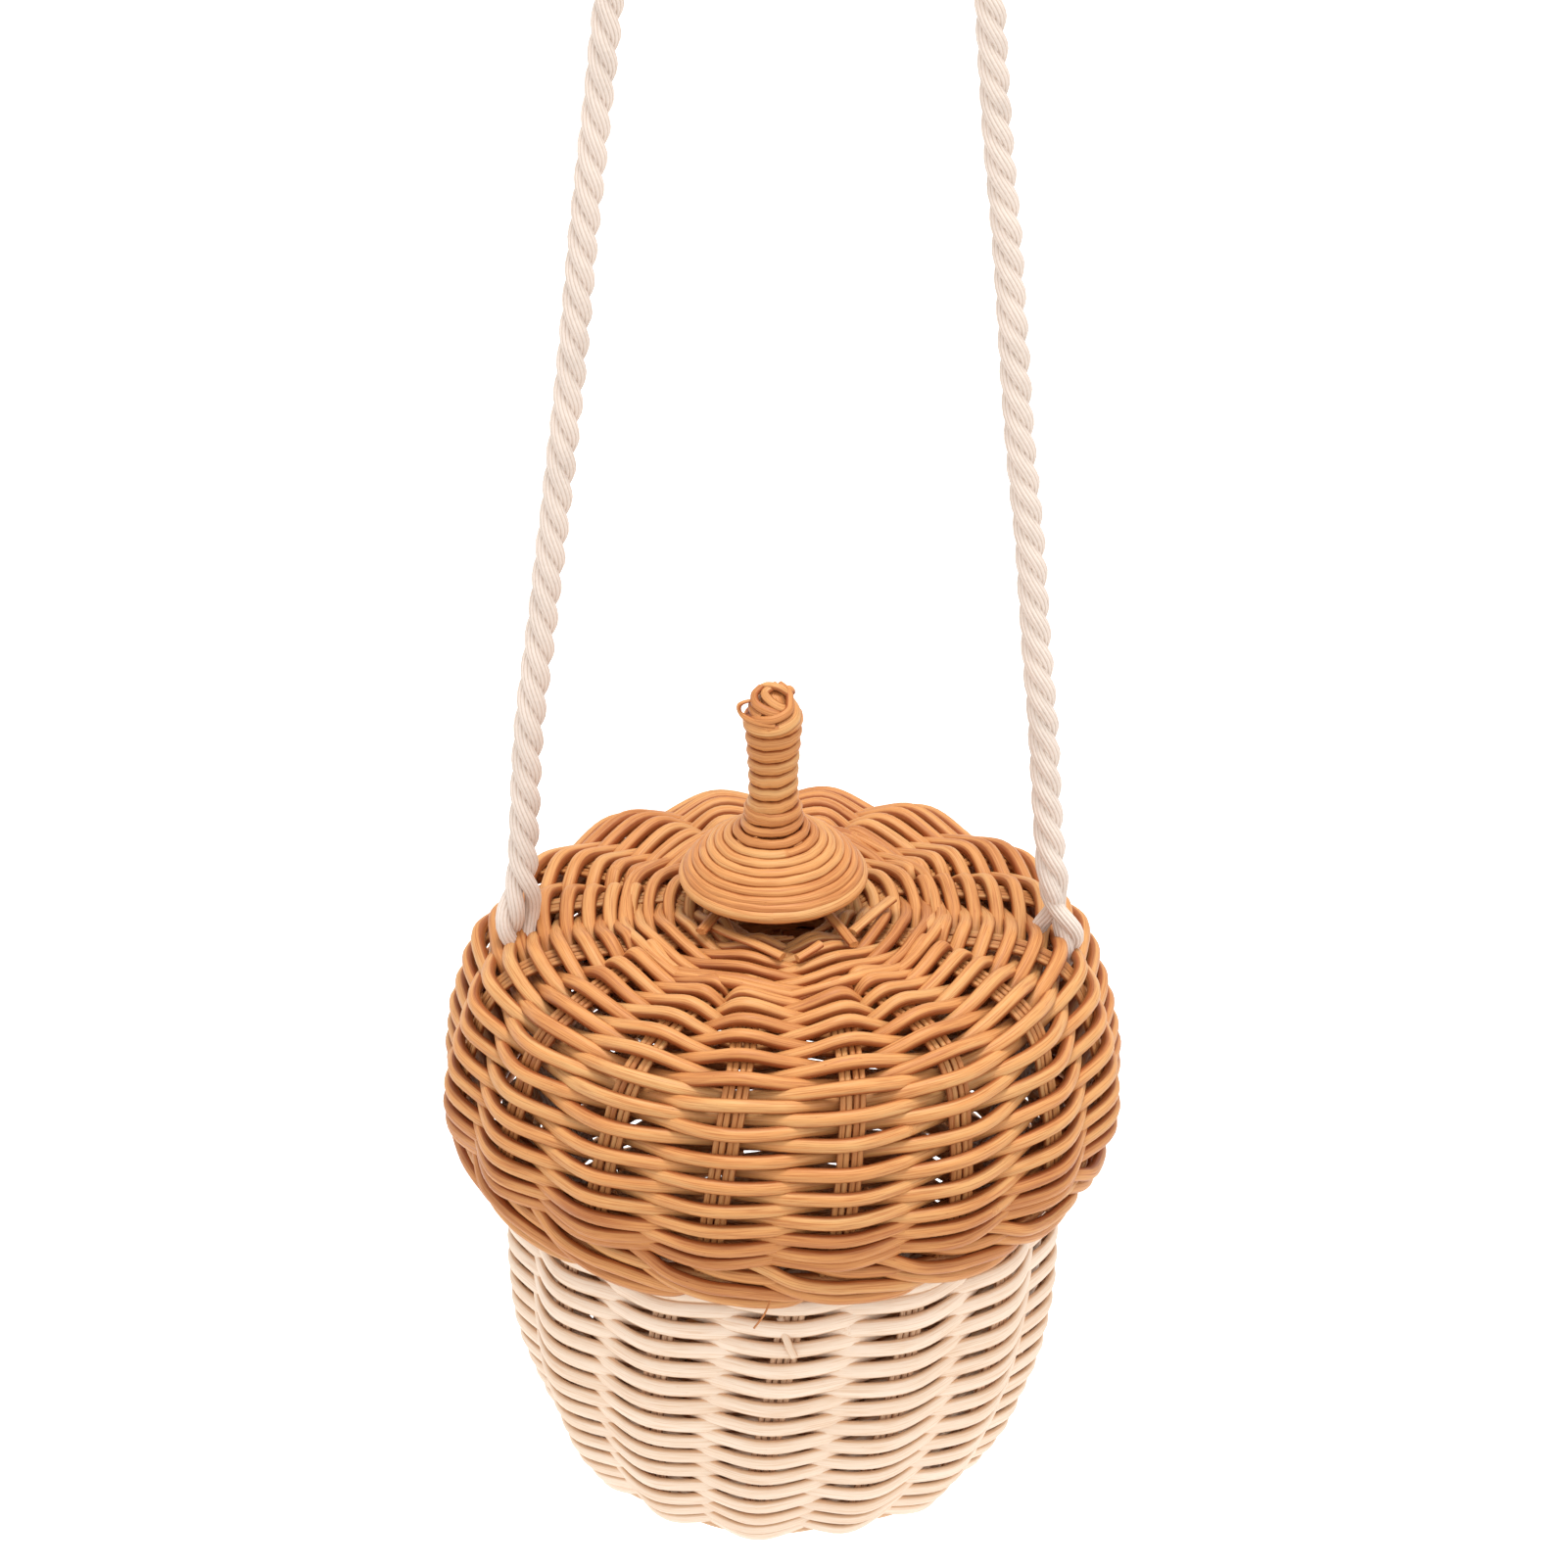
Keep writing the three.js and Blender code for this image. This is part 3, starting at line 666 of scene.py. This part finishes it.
def border_path(path):
    """A border's path for its tree, with a hundredth of a metre for each stake round the edge"""
    return [(radius * MM, turned / 100, up(height)) for turned, radius, height in path]


def knot_path(side):
    """Rope wound twice round itself below the strap's end"""
    points = [(0, 0, 76.3), (0, 0, 74)]
    for i in range(20):
        turn = i / 12 * TAU
        points.append((3.4 * math.sin(turn), -3.4 * math.cos(turn), 72.4 - i * 0.38))
    points += [(0.6, 0.4, 63.4), (0, 0, 61.4)]
    foot = abs(STRAP_ROUTE[0][0])
    return smooth([((side * foot + x) * MM, y * MM, up(height)) for x, y, height in points], 4)


def lashing_path(side):
    """Level loop round the strap, through the rim on both sides of it"""
    corners = [
        (46.4, -0.4), (46.4, 3), (48.6, 5.2), (64, 5.2), (66.9, 3), (66.9, -3), (64, -5.2),
        (48.6, -5.2), (46.4, -3), (46.4, 0.4),
    ]
    return smooth([(side * x * MM, y * MM, up(82)) for x, y in corners], 6)


def shown(name, data):
    """A new object in the scene"""
    thing = bpy.data.objects.new(name, data)
    bpy.context.scene.collection.objects.link(thing)
    return thing


def grown(name, group, points, values):
    """Runs a geometry tree on a line through the points and returns the plain mesh's object"""
    line = bpy.data.meshes.new(name + "_line")
    line.from_pydata(points, [(i, i + 1) for i in range(len(points) - 1)], [])
    source = shown(name + "_line", line)
    modifier = source.modifiers.new("Tree", "NODES")
    modifier.node_group = group
    sockets = {item.name: item.identifier for item in group.interface.items_tree}
    for label, value in values.items():
        modifier[sockets[label]] = value if label == "Material" else float(value)
    bpy.context.view_layer.update()
    evaluated = source.evaluated_get(bpy.context.evaluated_depsgraph_get())
    mesh = bpy.data.meshes.new_from_object(evaluated)
    bpy.data.objects.remove(source)
    if not mesh.polygons:
        raise RuntimeError(f"{name}: its node tree made no faces")
    mesh.name = name
    return shown(name, mesh)


def joined(name, pieces):
    """One object that holds the meshes of all the pieces"""
    mesh = bpy.data.meshes.new(name)
    whole = bmesh.new()
    for piece in pieces:
        whole.from_mesh(piece.data)
    whole.to_mesh(mesh)
    whole.free()
    mesh.materials.append(pieces[0].data.materials[0])
    for piece in pieces:
        bpy.data.objects.remove(piece)
    return shown(name, mesh)


def divided(whole, height, upper, lower):
    """Two objects, with the parts of the whole above and below this height"""
    pieces = []
    for name, side in ((upper, 1), (lower, -1)):
        mesh = whole.data.copy()
        mesh.name = name
        part = bmesh.new()
        part.from_mesh(mesh)
        bmesh.ops.bisect_plane(
            part, geom=[*part.verts, *part.edges, *part.faces], plane_co=(0, 0, height),
            plane_no=(0, 0, side), clear_inner=True,
        )
        cut = [edge for edge in part.edges if edge.is_boundary]
        for edge in cut:
            edge.smooth = False
        bmesh.ops.holes_fill(part, edges=cut)
        part.to_mesh(mesh)
        part.free()
        pieces.append(shown(name, mesh))
    bpy.data.objects.remove(whole)
    return pieces


def canes(name, paths, material, rise=0.004):
    """One object of flat canes along paths of (across, away, height), each with its width"""
    group = cane_tree()
    return joined(name, [
        grown(f"{name}_{i}", group, smooth([(x * MM, y * MM, up(z)) for x, y, z in points]), {
            "Width": width * MM, "Thickness": min(width, 2) * 0.8 * MM, "Rise": rise,
            "Seed": i, "Material": material,
        })
        for i, (width, points) in enumerate(paths)
    ])


def moved(piece, x, y):
    """Moves the piece's mesh, because the object itself stays at the origin"""
    for vertex in piece.data.vertices:
        vertex.co.x += x * MM
        vertex.co.y += y * MM
    return piece


def stakes_of(sizes):
    """Values of a wall's trees that say where its stakes stand"""
    return {"Stakes": sizes.stakes, "Lean": sizes.lean, "Level": sizes.level}


def fit(piece, body, slot, *nodes):
    """Hangs a piece on its body, in place of the solids that it stands for"""
    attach(piece, body)
    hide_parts(*nodes)


# Materials


def new_material(name):
    """A material with an empty shader, or the one of that name if it is there already"""
    material = bpy.data.materials.get(name)
    if material:
        return material, None, None
    material = bpy.data.materials.new(name)
    material.use_nodes = True
    material.node_tree.nodes.clear()
    tree = Tree(material.node_tree)
    shader = tree.add("ShaderNodeBsdfPrincipled")
    tree.add("ShaderNodeOutputMaterial", [Field(tree, shader.outputs[0])])
    return material, tree, shader


def ramp(tree, value, *stops):
    """Colour ramp from (place, colour) stops"""
    node = tree.add("ShaderNodeValToRGB", [value])
    stops_there = node.color_ramp.elements
    while len(stops_there) < len(stops):
        stops_there.new(0.5)
    for stop, (place, shade) in zip(stops_there, stops):
        stop.position = place
        stop.color = (*shade, 1)
    return Field(tree, node.outputs[0])


def seen(tree):
    """1 for rays that show the background, straight, in gloss or through something clear"""
    rays = tree.add("ShaderNodeLightPath").outputs
    straight, gloss, through = (
        Field(tree, rays[f"Is {kind} Ray"]) for kind in ("Camera", "Glossy", "Transmission")
    )
    return straight.maths("MAXIMUM", gloss).maths("MAXIMUM", through)


def product(tree, shade, *others):
    """The first colour times each of the others"""
    for other in others:
        values = {0: 1, 6: shade, 7: other}
        shade = tree.get("ShaderNodeMix", values, 2, data_type="RGBA", blend_type="MULTIPLY")
    return shade


def stored(tree, *names):
    """Values that the geometry trees left on the surface under these names"""
    return [tree.get("ShaderNodeAttribute", output=2, attribute_name=name) for name in names]


def relief(tree, shader, height, strength):
    """Fine relief on the surface, by its shading alone"""
    values = {"Strength": strength, "Distance": 0.3 * MM, "Height": height}
    tree.link(tree.get("ShaderNodeBump", values), shader, "Normal")


def times(shade, shares):
    return [min(1, value * share) for value, share in zip(shade, shares)]


def rattan(name, base, darker, lighter, edge, warm, rough):
    """Rattan with streaks along each reed, a tone of its own, painted shade along its edges where
    reeds meet, and a darker, redder inner side that is painted shade for the bag's dim inside
    """
    material, tree, shader = new_material(name)
    if tree is None:
        return material
    along, outward, beside, own = stored(tree, "along", "outward", "beside", "reed")

    def streaks(length, width, detail):
        """Noise between 0 and 1 with spots of this length in metres along the reed"""
        place = tree.vector(along / length + own * 61, outward * width, beside * width)
        return tree.noise_at(place, 1, detail, 0.6)

    broad = streaks(0.02, 2.2, 2)
    fine = streaks(0.011, 7, 2)
    cloud = streaks(0.03, 0.4, 1)
    tone = own * 0.3 + cloud * 0.6 + broad * 0.8 - 0.35
    dark, light = times(base, darker), times(base, lighter)
    soft_edge = [1 - (1 - value) * 0.6 for value in edge]
    shade = product(
        tree, ramp(tree, tone, (0.12, dark), (0.5, base), (0.9, light)),
        ramp(tree, fine, (0.36, soft_edge), (0.52, WHITE)),
        # painted shade: each reed darkens towards the edges where it meets the next row or reed,
        # where shade falls between them
        ramp(tree, beside.size() + broad * 0.16, (0.8, WHITE), (1, edge)),
        # painted shade: faces turned to the inside of the bag are darker and redder, standing in
        # for the dim bounced light there
        ramp(tree, outward + 1, (0.1, warm), (0.6, WHITE)),
        ramp(tree, streaks(0.0024, 3.4, 1), (0.16, edge), (0.24, WHITE)),
    )
    tree.link(shade, shader, "Base Color")
    tree.link(broad * 0.25 + rough, shader, "Roughness")
    relief(tree, shader, fine * 0.6 + broad * 0.4, 0.25)
    shader.inputs["Specular IOR Level"].default_value = 0.3
    return material


# Each edge colour below colours the painted shade along the reeds' edges, as well as the grain
# lines and flecks.
# Each inner colour below is painted shade for the inward faces of the reeds.
def caramel_rattan(colours):
    return rattan("stained_reed", colours.caramel, (0.66, 0.5, 0.42), (1.05, 1.35, 1.65),
                  edge=(0.6, 0.38, 0.28), warm=(1, 0.92, 0.85), rough=0.38)


def cream_rattan(colours):
    return rattan("peeled_reed", colours.cream, (0.92, 0.86, 0.8), (1.06, 1.1, 1.14),
                  edge=(0.85, 0.7, 0.56), warm=(0.97, 0.68, 0.44), rough=0.42)


def tan_rattan(colours):
    base = times(colours.cream, (1, 0.86, 0.72))
    return rattan("stake_reed", base, (0.72, 0.72, 0.72), (1.25, 1.25, 1.25),
                  edge=(0.5, 0.34, 0.24), warm=(0.95, 0.78, 0.6), rough=0.5)


def cotton_rope(colours):
    """Twisted cotton with fuzz, slubs and painted shade in the creases between its yarns"""
    material, tree, shader = new_material("twisted_cotton")
    if tree is None:
        return material
    along, lobe, own = stored(tree, "along", "lobe", "reed")
    place = tree.get("ShaderNodeTexCoord", output=3)
    fuzz = tree.noise_at(place, 900, 3, 0.7)
    patch = tree.noise_at(place, 60, 2)
    slub = tree.noise_at(tree.vector(along * 130, lobe * 2, own * 9), 1, 2)
    base = colours.cotton
    dark, light = times(base, (0.84, 0.84, 0.84)), times(base, (1.1, 1.1, 1.1))
    tone = fuzz * 0.35 + patch * 0.35 + slub * 0.3
    shade = product(
        tree, ramp(tree, tone, (0.3, dark), (0.5, base), (0.75, light)),
        # painted shade: the creases between the yarns are darkened, where shade falls between them
        ramp(tree, lobe + fuzz * 0.3 - 0.15, (0.05, (0.8, 0.72, 0.65)), (0.5, WHITE)),
    )
    tree.link(shade, shader, "Base Color")
    relief(tree, shader, fuzz * 0.5 + lobe * 0.5, 0.5)
    shader.inputs["Roughness"].default_value = 0.92
    shader.inputs["Specular IOR Level"].default_value = 0.15
    return material


# Operators


class BAG_OT_stage(bpy.types.Operator):
    """Makes the floor, the lights and the camera"""

    bl_idname = "bag.stage"
    bl_label = "Stage"
    bl_options = {"REGISTER", "UNDO"}

    def execute(self, context):
        scene = context.scene
        aim = Vector(CAMERA_AIM)
        camera = shown("camera", bpy.data.cameras.new("camera"))
        camera.data.lens = CAMERA_LENS
        camera.data.clip_end = 20
        back = Vector((0, -math.cos(CAMERA_TILT), math.sin(CAMERA_TILT)))
        camera.location = aim + back * CAMERA_DISTANCE
        camera.rotation_euler = (math.pi / 2 - CAMERA_TILT, 0, 0)
        scene.camera = camera

        scene.view_settings.view_transform = "Standard"
        world = scene.world = bpy.data.worlds.new("studio")
        world.use_nodes = True
        world.node_tree.nodes.clear()
        tree = Tree(world.node_tree)
        values = {"Color": (*WHITE, 1), "Strength": seen(tree) * (1 - WORLD_LIGHT) + WORLD_LIGHT}
        tree.add("ShaderNodeOutputWorld", [tree.get("ShaderNodeBackground", values)])

        floor = bpy.data.meshes.new("floor")
        square = ((-1, -1), (1, -1), (1, 1), (-1, 1))
        corners = [(x * FLOOR_REACH, y * FLOOR_REACH, FLOOR_HEIGHT) for x, y in square]
        floor.from_pydata(corners, [], [(0, 1, 2, 3)])
        material, tree, shader = new_material("pale_floor")
        shader.inputs["Base Color"].default_value = (0.86, 0.86, 0.86, 1)
        shader.inputs["Roughness"].default_value = 0.9
        shader.inputs["Emission Color"].default_value = (*WHITE, 1)
        tree.link(seen(tree) * FLOOR_GLOW, shader, "Emission Strength")
        floor.materials.append(material)
        shown("floor", floor)

        for name, place, power, size in (
            ("key", (0.65, -1.65, 0.9), 6, 1),
            ("left", (-1.8, -0.7, 0.1), 5.5, 1.2),
            ("right", (1.8, -0.7, 0.2), 5.5, 1.2),
            ("top", (0.1, -0.1, 1.7), 36, 0.8),
        ):
            lamp = bpy.data.lights.new(name, "AREA")
            lamp.shape = "DISK"
            lamp.energy = power
            lamp.size = size
            light = shown(name, lamp)
            light.location = place
            light.rotation_euler = (aim - light.location).to_track_quat("-Z", "Y").to_euler()
        return {"FINISHED"}


class BAG_OT_strap(bpy.types.Operator):
    """Makes the rope strap with its ends inside the bag, its stopper knots and its lashings"""

    bl_idname = "bag.strap"
    bl_label = "Strap"
    bl_options = {"REGISTER", "UNDO"}

    def execute(self, context):
        settings = context.scene.rattan_bag
        sizes = settings.strap
        material = cotton_rope(settings.colours)
        group = rope_tree()
        first, last = TAIL_POINTS
        steps = 8
        hole = up(HOLE_HEIGHT)
        route = smooth(placed(STRAP_ROUTE), steps)
        upper = route[first * steps:(len(STRAP_ROUTE) + last) * steps + 1]
        values = {"Diameter": sizes.diameter, "Lay": sizes.lay, "Material": material}
        parting = {"Parting": 3.5 * MM, "Parting Height": hole}
        whole = grown("whole_strap", group, route, values | parting)
        strap, tails = divided(whole, upper[0][2], "strap_rope", "strap_tails")
        sides = ((-1, "left"), (1, "right"))
        knots = [
            grown(f"stopper_knot_{label}", group, knot_path(side), values | {"Seed": 3})
            for side, label in sides
        ]
        values |= {"Diameter": 2.2 * MM, "Lay": 6 * MM, "Strands": 2, "Yarn Lay": 8 * MM,
                   "Yarns": 5, "Sides": 15, "Step": 0.6 * MM}
        lashings = [
            grown(f"rim_lashing_{label}", group, lashing_path(side), values)
            for side, label in sides
        ]
        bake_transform(strap)
        up(86)
        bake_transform(tails)
        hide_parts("strap")
        for pieces, node in ((knots, "strap_knot"), (lashings, "lashing")):
            for piece, (_, label) in zip(pieces, sides):
                fit(piece, "base", "cotton_rope", f"{node}_{label}")
        return {"FINISHED"}


class BAG_OT_base_wall(bpy.types.Operator):
    """Makes the over-and-under weave of the base's wall and of its floor"""

    bl_idname = "bag.base_wall"
    bl_label = "Base wall and floor"
    bl_options = {"REGISTER", "UNDO"}

    def execute(self, context):
        settings = context.scene.rattan_bag
        sizes = settings.base
        group = weave_tree()
        values = stakes_of(sizes) | {
            "Start Turn": 0.5 - 0.5 / sizes.stakes,
            "Reed Width": sizes.reed_width, "Reed Thickness": sizes.reed_thickness,
            "Material": cream_rattan(settings.colours),
        }
        rows = grown("base_rows", group, smooth(placed(BASE_OUTLINE)), values | {
            "Rows": sizes.rows, "Swing": 3 * MM, "Waver": 0.3 * MM, "Seed": 3,
        })
        wall = joined("base_weave", [rows, canes("base_ends", BASE_ENDS, values["Material"])])
        fit(wall, "base", "cream_rattan", "base_wall")
        floor = grown("floor_weave", group, smooth(placed(FLOOR_OUTLINE)), values | {
            "Rows": 11, "Swing": 0.9 * MM, "Reed Thickness": 1.6 * MM, "Waver": 0.2 * MM,
            "Seed": 6, "Steps": 8,
        })
        fit(floor, "base", "cream_rattan", "base_floor")
        return {"FINISHED"}


class BAG_OT_base_stakes(bpy.types.Operator):
    """Makes the base's stakes, from the middle of its floor to its rim"""

    bl_idname = "bag.base_stakes"
    bl_label = "Base stakes"
    bl_options = {"REGISTER", "UNDO"}

    def execute(self, context):
        settings = context.scene.rattan_bag
        sizes = settings.base
        group = stake_tree()
        values = stakes_of(sizes) | {
            "Reed": sizes.stake_reed, "Seed": 2, "Material": tan_rattan(settings.colours),
        }
        stakes = grown("base_stakes", group, smooth(placed(BASE_OUTLINE)), values | {
            "Depth": 3.2 * MM, "From": 0.06,
        })
        nodes = [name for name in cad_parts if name.startswith("base_stake")]
        fit(stakes, "base", "cream_rattan", *nodes)
        spokes = grown(
            "floor_spokes", group, placed([(1, 0.4), *FLOOR_OUTLINE, (46, 1.6)]),
            values | {"Depth": 2 * MM, "Reed": 1.2 * MM, "Points": 20},
        )
        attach(spokes, "base")
        return {"FINISHED"}


class BAG_OT_base_rim(bpy.types.Operator):
    """Makes the base's rolled rim"""

    bl_idname = "bag.base_rim"
    bl_label = "Base rim"
    bl_options = {"REGISTER", "UNDO"}

    def execute(self, context):
        settings = context.scene.rattan_bag
        rim = grown("rolled_rim", border_tree(), smooth(border_path(RIM_BORDER)), {
            "Stakes": settings.base.stakes, "Reeds": 4, "Reed": 2.5 * MM, "Fan": 0.25,
            "Waver": 0.12 * MM, "Material": cream_rattan(settings.colours),
        })
        fit(rim, "base", "cream_rattan", "base_rim")
        return {"FINISHED"}


class BAG_OT_lid_wall(bpy.types.Operator):
    """Makes the over-and-under weave of the lid and the first rows at its crown"""

    bl_idname = "bag.lid_wall"
    bl_label = "Lid wall and crown"
    bl_options = {"REGISTER", "UNDO"}

    def execute(self, context):
        settings = context.scene.rattan_bag
        sizes = settings.lid
        group = weave_tree()
        values = stakes_of(sizes) | {
            "Starts": 2, "Reed Width": sizes.reed_width, "Reed Thickness": sizes.reed_thickness,
            "Material": caramel_rattan(settings.colours),
        }
        wall = grown("lid_weave", group, smooth(placed(LID_OUTLINE)), values | {
            "First Stake": -math.pi / sizes.stakes, "Start Turn": 0.5,
            "Pair Distance": PAIR_DISTANCE, "Rows": sizes.rows, "Spread": 0.22,
            "Swing": 3.3 * MM, "Waver": 0.42 * MM, "Seed": 5, "Level End": 0,
        })
        fit(wall, "lid", "caramel_rattan", "lid_wall")
        rows = grown("crown_rows", group, smooth(placed(CROWN_OUTLINE)), values | {
            "Stakes": sizes.stakes / 2, "First Stake": TAU / sizes.stakes, "Start Turn": 0.5,
            "Rows": 13, "Reed Width": 3 * MM, "Reed Thickness": 2.9 * MM,
            "Swing": 2.5 * MM, "Waver": 0.25 * MM, "Seed": 7, "Steps": 20,
        })
        ends = canes("crown_ends", CROWN_ENDS, values["Material"], rise=1)
        crown = joined("crown_weave", [rows, ends])
        fit(crown, "lid", "caramel_rattan", "lid_crown")
        return {"FINISHED"}


class BAG_OT_lid_stakes(bpy.types.Operator):
    """Makes the lid's stakes, which cross at the crown"""

    bl_idname = "bag.lid_stakes"
    bl_label = "Lid stakes"
    bl_options = {"REGISTER", "UNDO"}

    def execute(self, context):
        settings = context.scene.rattan_bag
        sizes = settings.lid
        path = smooth(placed(LID_STAKE_OUTLINE))
        stakes = grown("lid_stakes", stake_tree(), path, stakes_of(sizes) | {
            "First Stake": -math.pi / sizes.stakes, "Pair Distance": PAIR_DISTANCE,
            "Layer": 1.1 * MM, "Reed": sizes.stake_reed, "Depth": 4.2 * MM, "Points": 90,
            "Seed": 4, "Material": caramel_rattan(settings.colours),
        })
        nodes = [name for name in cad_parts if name.startswith("lid_stake")]
        fit(stakes, "lid", "caramel_rattan", *nodes)
        return {"FINISHED"}


class BAG_OT_lid_border(bpy.types.Operator):
    """Makes the lid's lower edge, where a pair of reeds from each stake sweeps to the right"""

    bl_idname = "bag.lid_border"
    bl_label = "Lid border"
    bl_options = {"REGISTER", "UNDO"}

    def execute(self, context):
        settings = context.scene.rattan_bag
        sizes = settings.lid
        group = border_tree()
        values = {
            "Stakes": sizes.stakes, "Material": caramel_rattan(settings.colours),
            "First Stake": -math.pi / sizes.stakes + sizes.lean * (up(88) - sizes.level),
        }
        border = joined("swept_border", [
            grown(f"border_strands_{i}", group, smooth(border_path(path)), values | {"Seed": i})
            for i, path in enumerate(LID_BORDER)
        ] + [canes("border_ends", BORDER_ENDS, values["Material"])])
        fit(border, "lid", "caramel_rattan", "lid_border")
        return {"FINISHED"}


class BAG_OT_stem(bpy.types.Operator):
    """Makes the stem's core, coiled disc, winding and knotted top"""

    bl_idname = "bag.stem"
    bl_label = "Stem"
    bl_options = {"REGISTER", "UNDO"}

    def execute(self, context):
        settings = context.scene.rattan_bag
        material = caramel_rattan(settings.colours)
        group = weave_tree()
        values = {"Stakes": 24, "Steps": 3, "Swing": 0, "Material": material}
        disc = grown("disc_rows", group, smooth(placed(DISC_OUTLINE)), values | {
            "Rows": 11, "Reed Width": 2.7 * MM, "Reed Thickness": 2.3 * MM, "Waver": 0.12 * MM,
            "Uneven": 0.2, "First Stake": 2, "Seed": 8,
        })
        radius, height = DISC_EDGE
        turns = [i / 48 * TAU for i in range(51)]
        ring = [(radius * MM * math.sin(a), -radius * MM * math.cos(a), up(height)) for a in turns]
        edge = grown("disc_edge", cane_tree(), ring, {
            "Width": 3.4 * MM, "Thickness": 3.4 * MM, "Seed": 3, "Material": material,
        })
        disc = joined("disc_coil", [disc, edge])
        winding = grown("stem_wrap", group, smooth(placed(STEM_OUTLINE)), values | {
            "Rows": 9, "Reed Width": 3.5 * MM, "Reed Thickness": 2.6 * MM,
            "Waver": 0.14 * MM, "Uneven": 0.05, "First Stake": 1, "Seed": 9,
        })
        core = grown("stem_bundle", stake_tree(), smooth(placed(CORE_OUTLINE)), {
            "Stakes": 10, "Reeds": 1, "Reed": 2.3 * MM, "Depth": 1.15 * MM, "Slit": 0,
            "Points": 30, "Material": material,
        })
        knot = canes("knotted_top", KNOT_CANES, material)
        for piece, node in (
            (disc, "stem_disc"), (winding, "stem_winding"),
            (core, "stem_core"), (knot, "stem_knot"),
        ):
            fit(moved(piece, *STEM_PLACE), "lid", "caramel_rattan", node)
        return {"FINISHED"}


class BAG_PT_panel(bpy.types.Panel):
    """Lists the bag's operators"""

    bl_label = "Rattan bag"
    bl_idname = "BAG_PT_panel"
    bl_space_type = "VIEW_3D"
    bl_region_type = "UI"
    bl_category = "Rattan bag"

    def draw(self, context):
        for operator in OPERATORS:
            self.layout.operator(operator.bl_idname)


OPERATORS = (
    BAG_OT_stage, BAG_OT_strap, BAG_OT_base_wall, BAG_OT_base_stakes, BAG_OT_base_rim,
    BAG_OT_lid_wall, BAG_OT_lid_stakes, BAG_OT_lid_border, BAG_OT_stem,
)
CLASSES = (
    BaseSizes, LidSizes, StrapSizes, BagColours, BagSettings, *OPERATORS, BAG_PT_panel,
)


def register():
    for group in CLASSES:
        bpy.utils.register_class(group)
    bpy.types.Scene.rattan_bag = PointerProperty(type=BagSettings)


def unregister():
    del bpy.types.Scene.rattan_bag
    for group in reversed(CLASSES):
        bpy.utils.unregister_class(group)


def main():
    register()
    for operator in OPERATORS:
        family, name = operator.bl_idname.split(".")
        getattr(getattr(bpy.ops, family), name)()


if __name__ == "__main__":
    main()
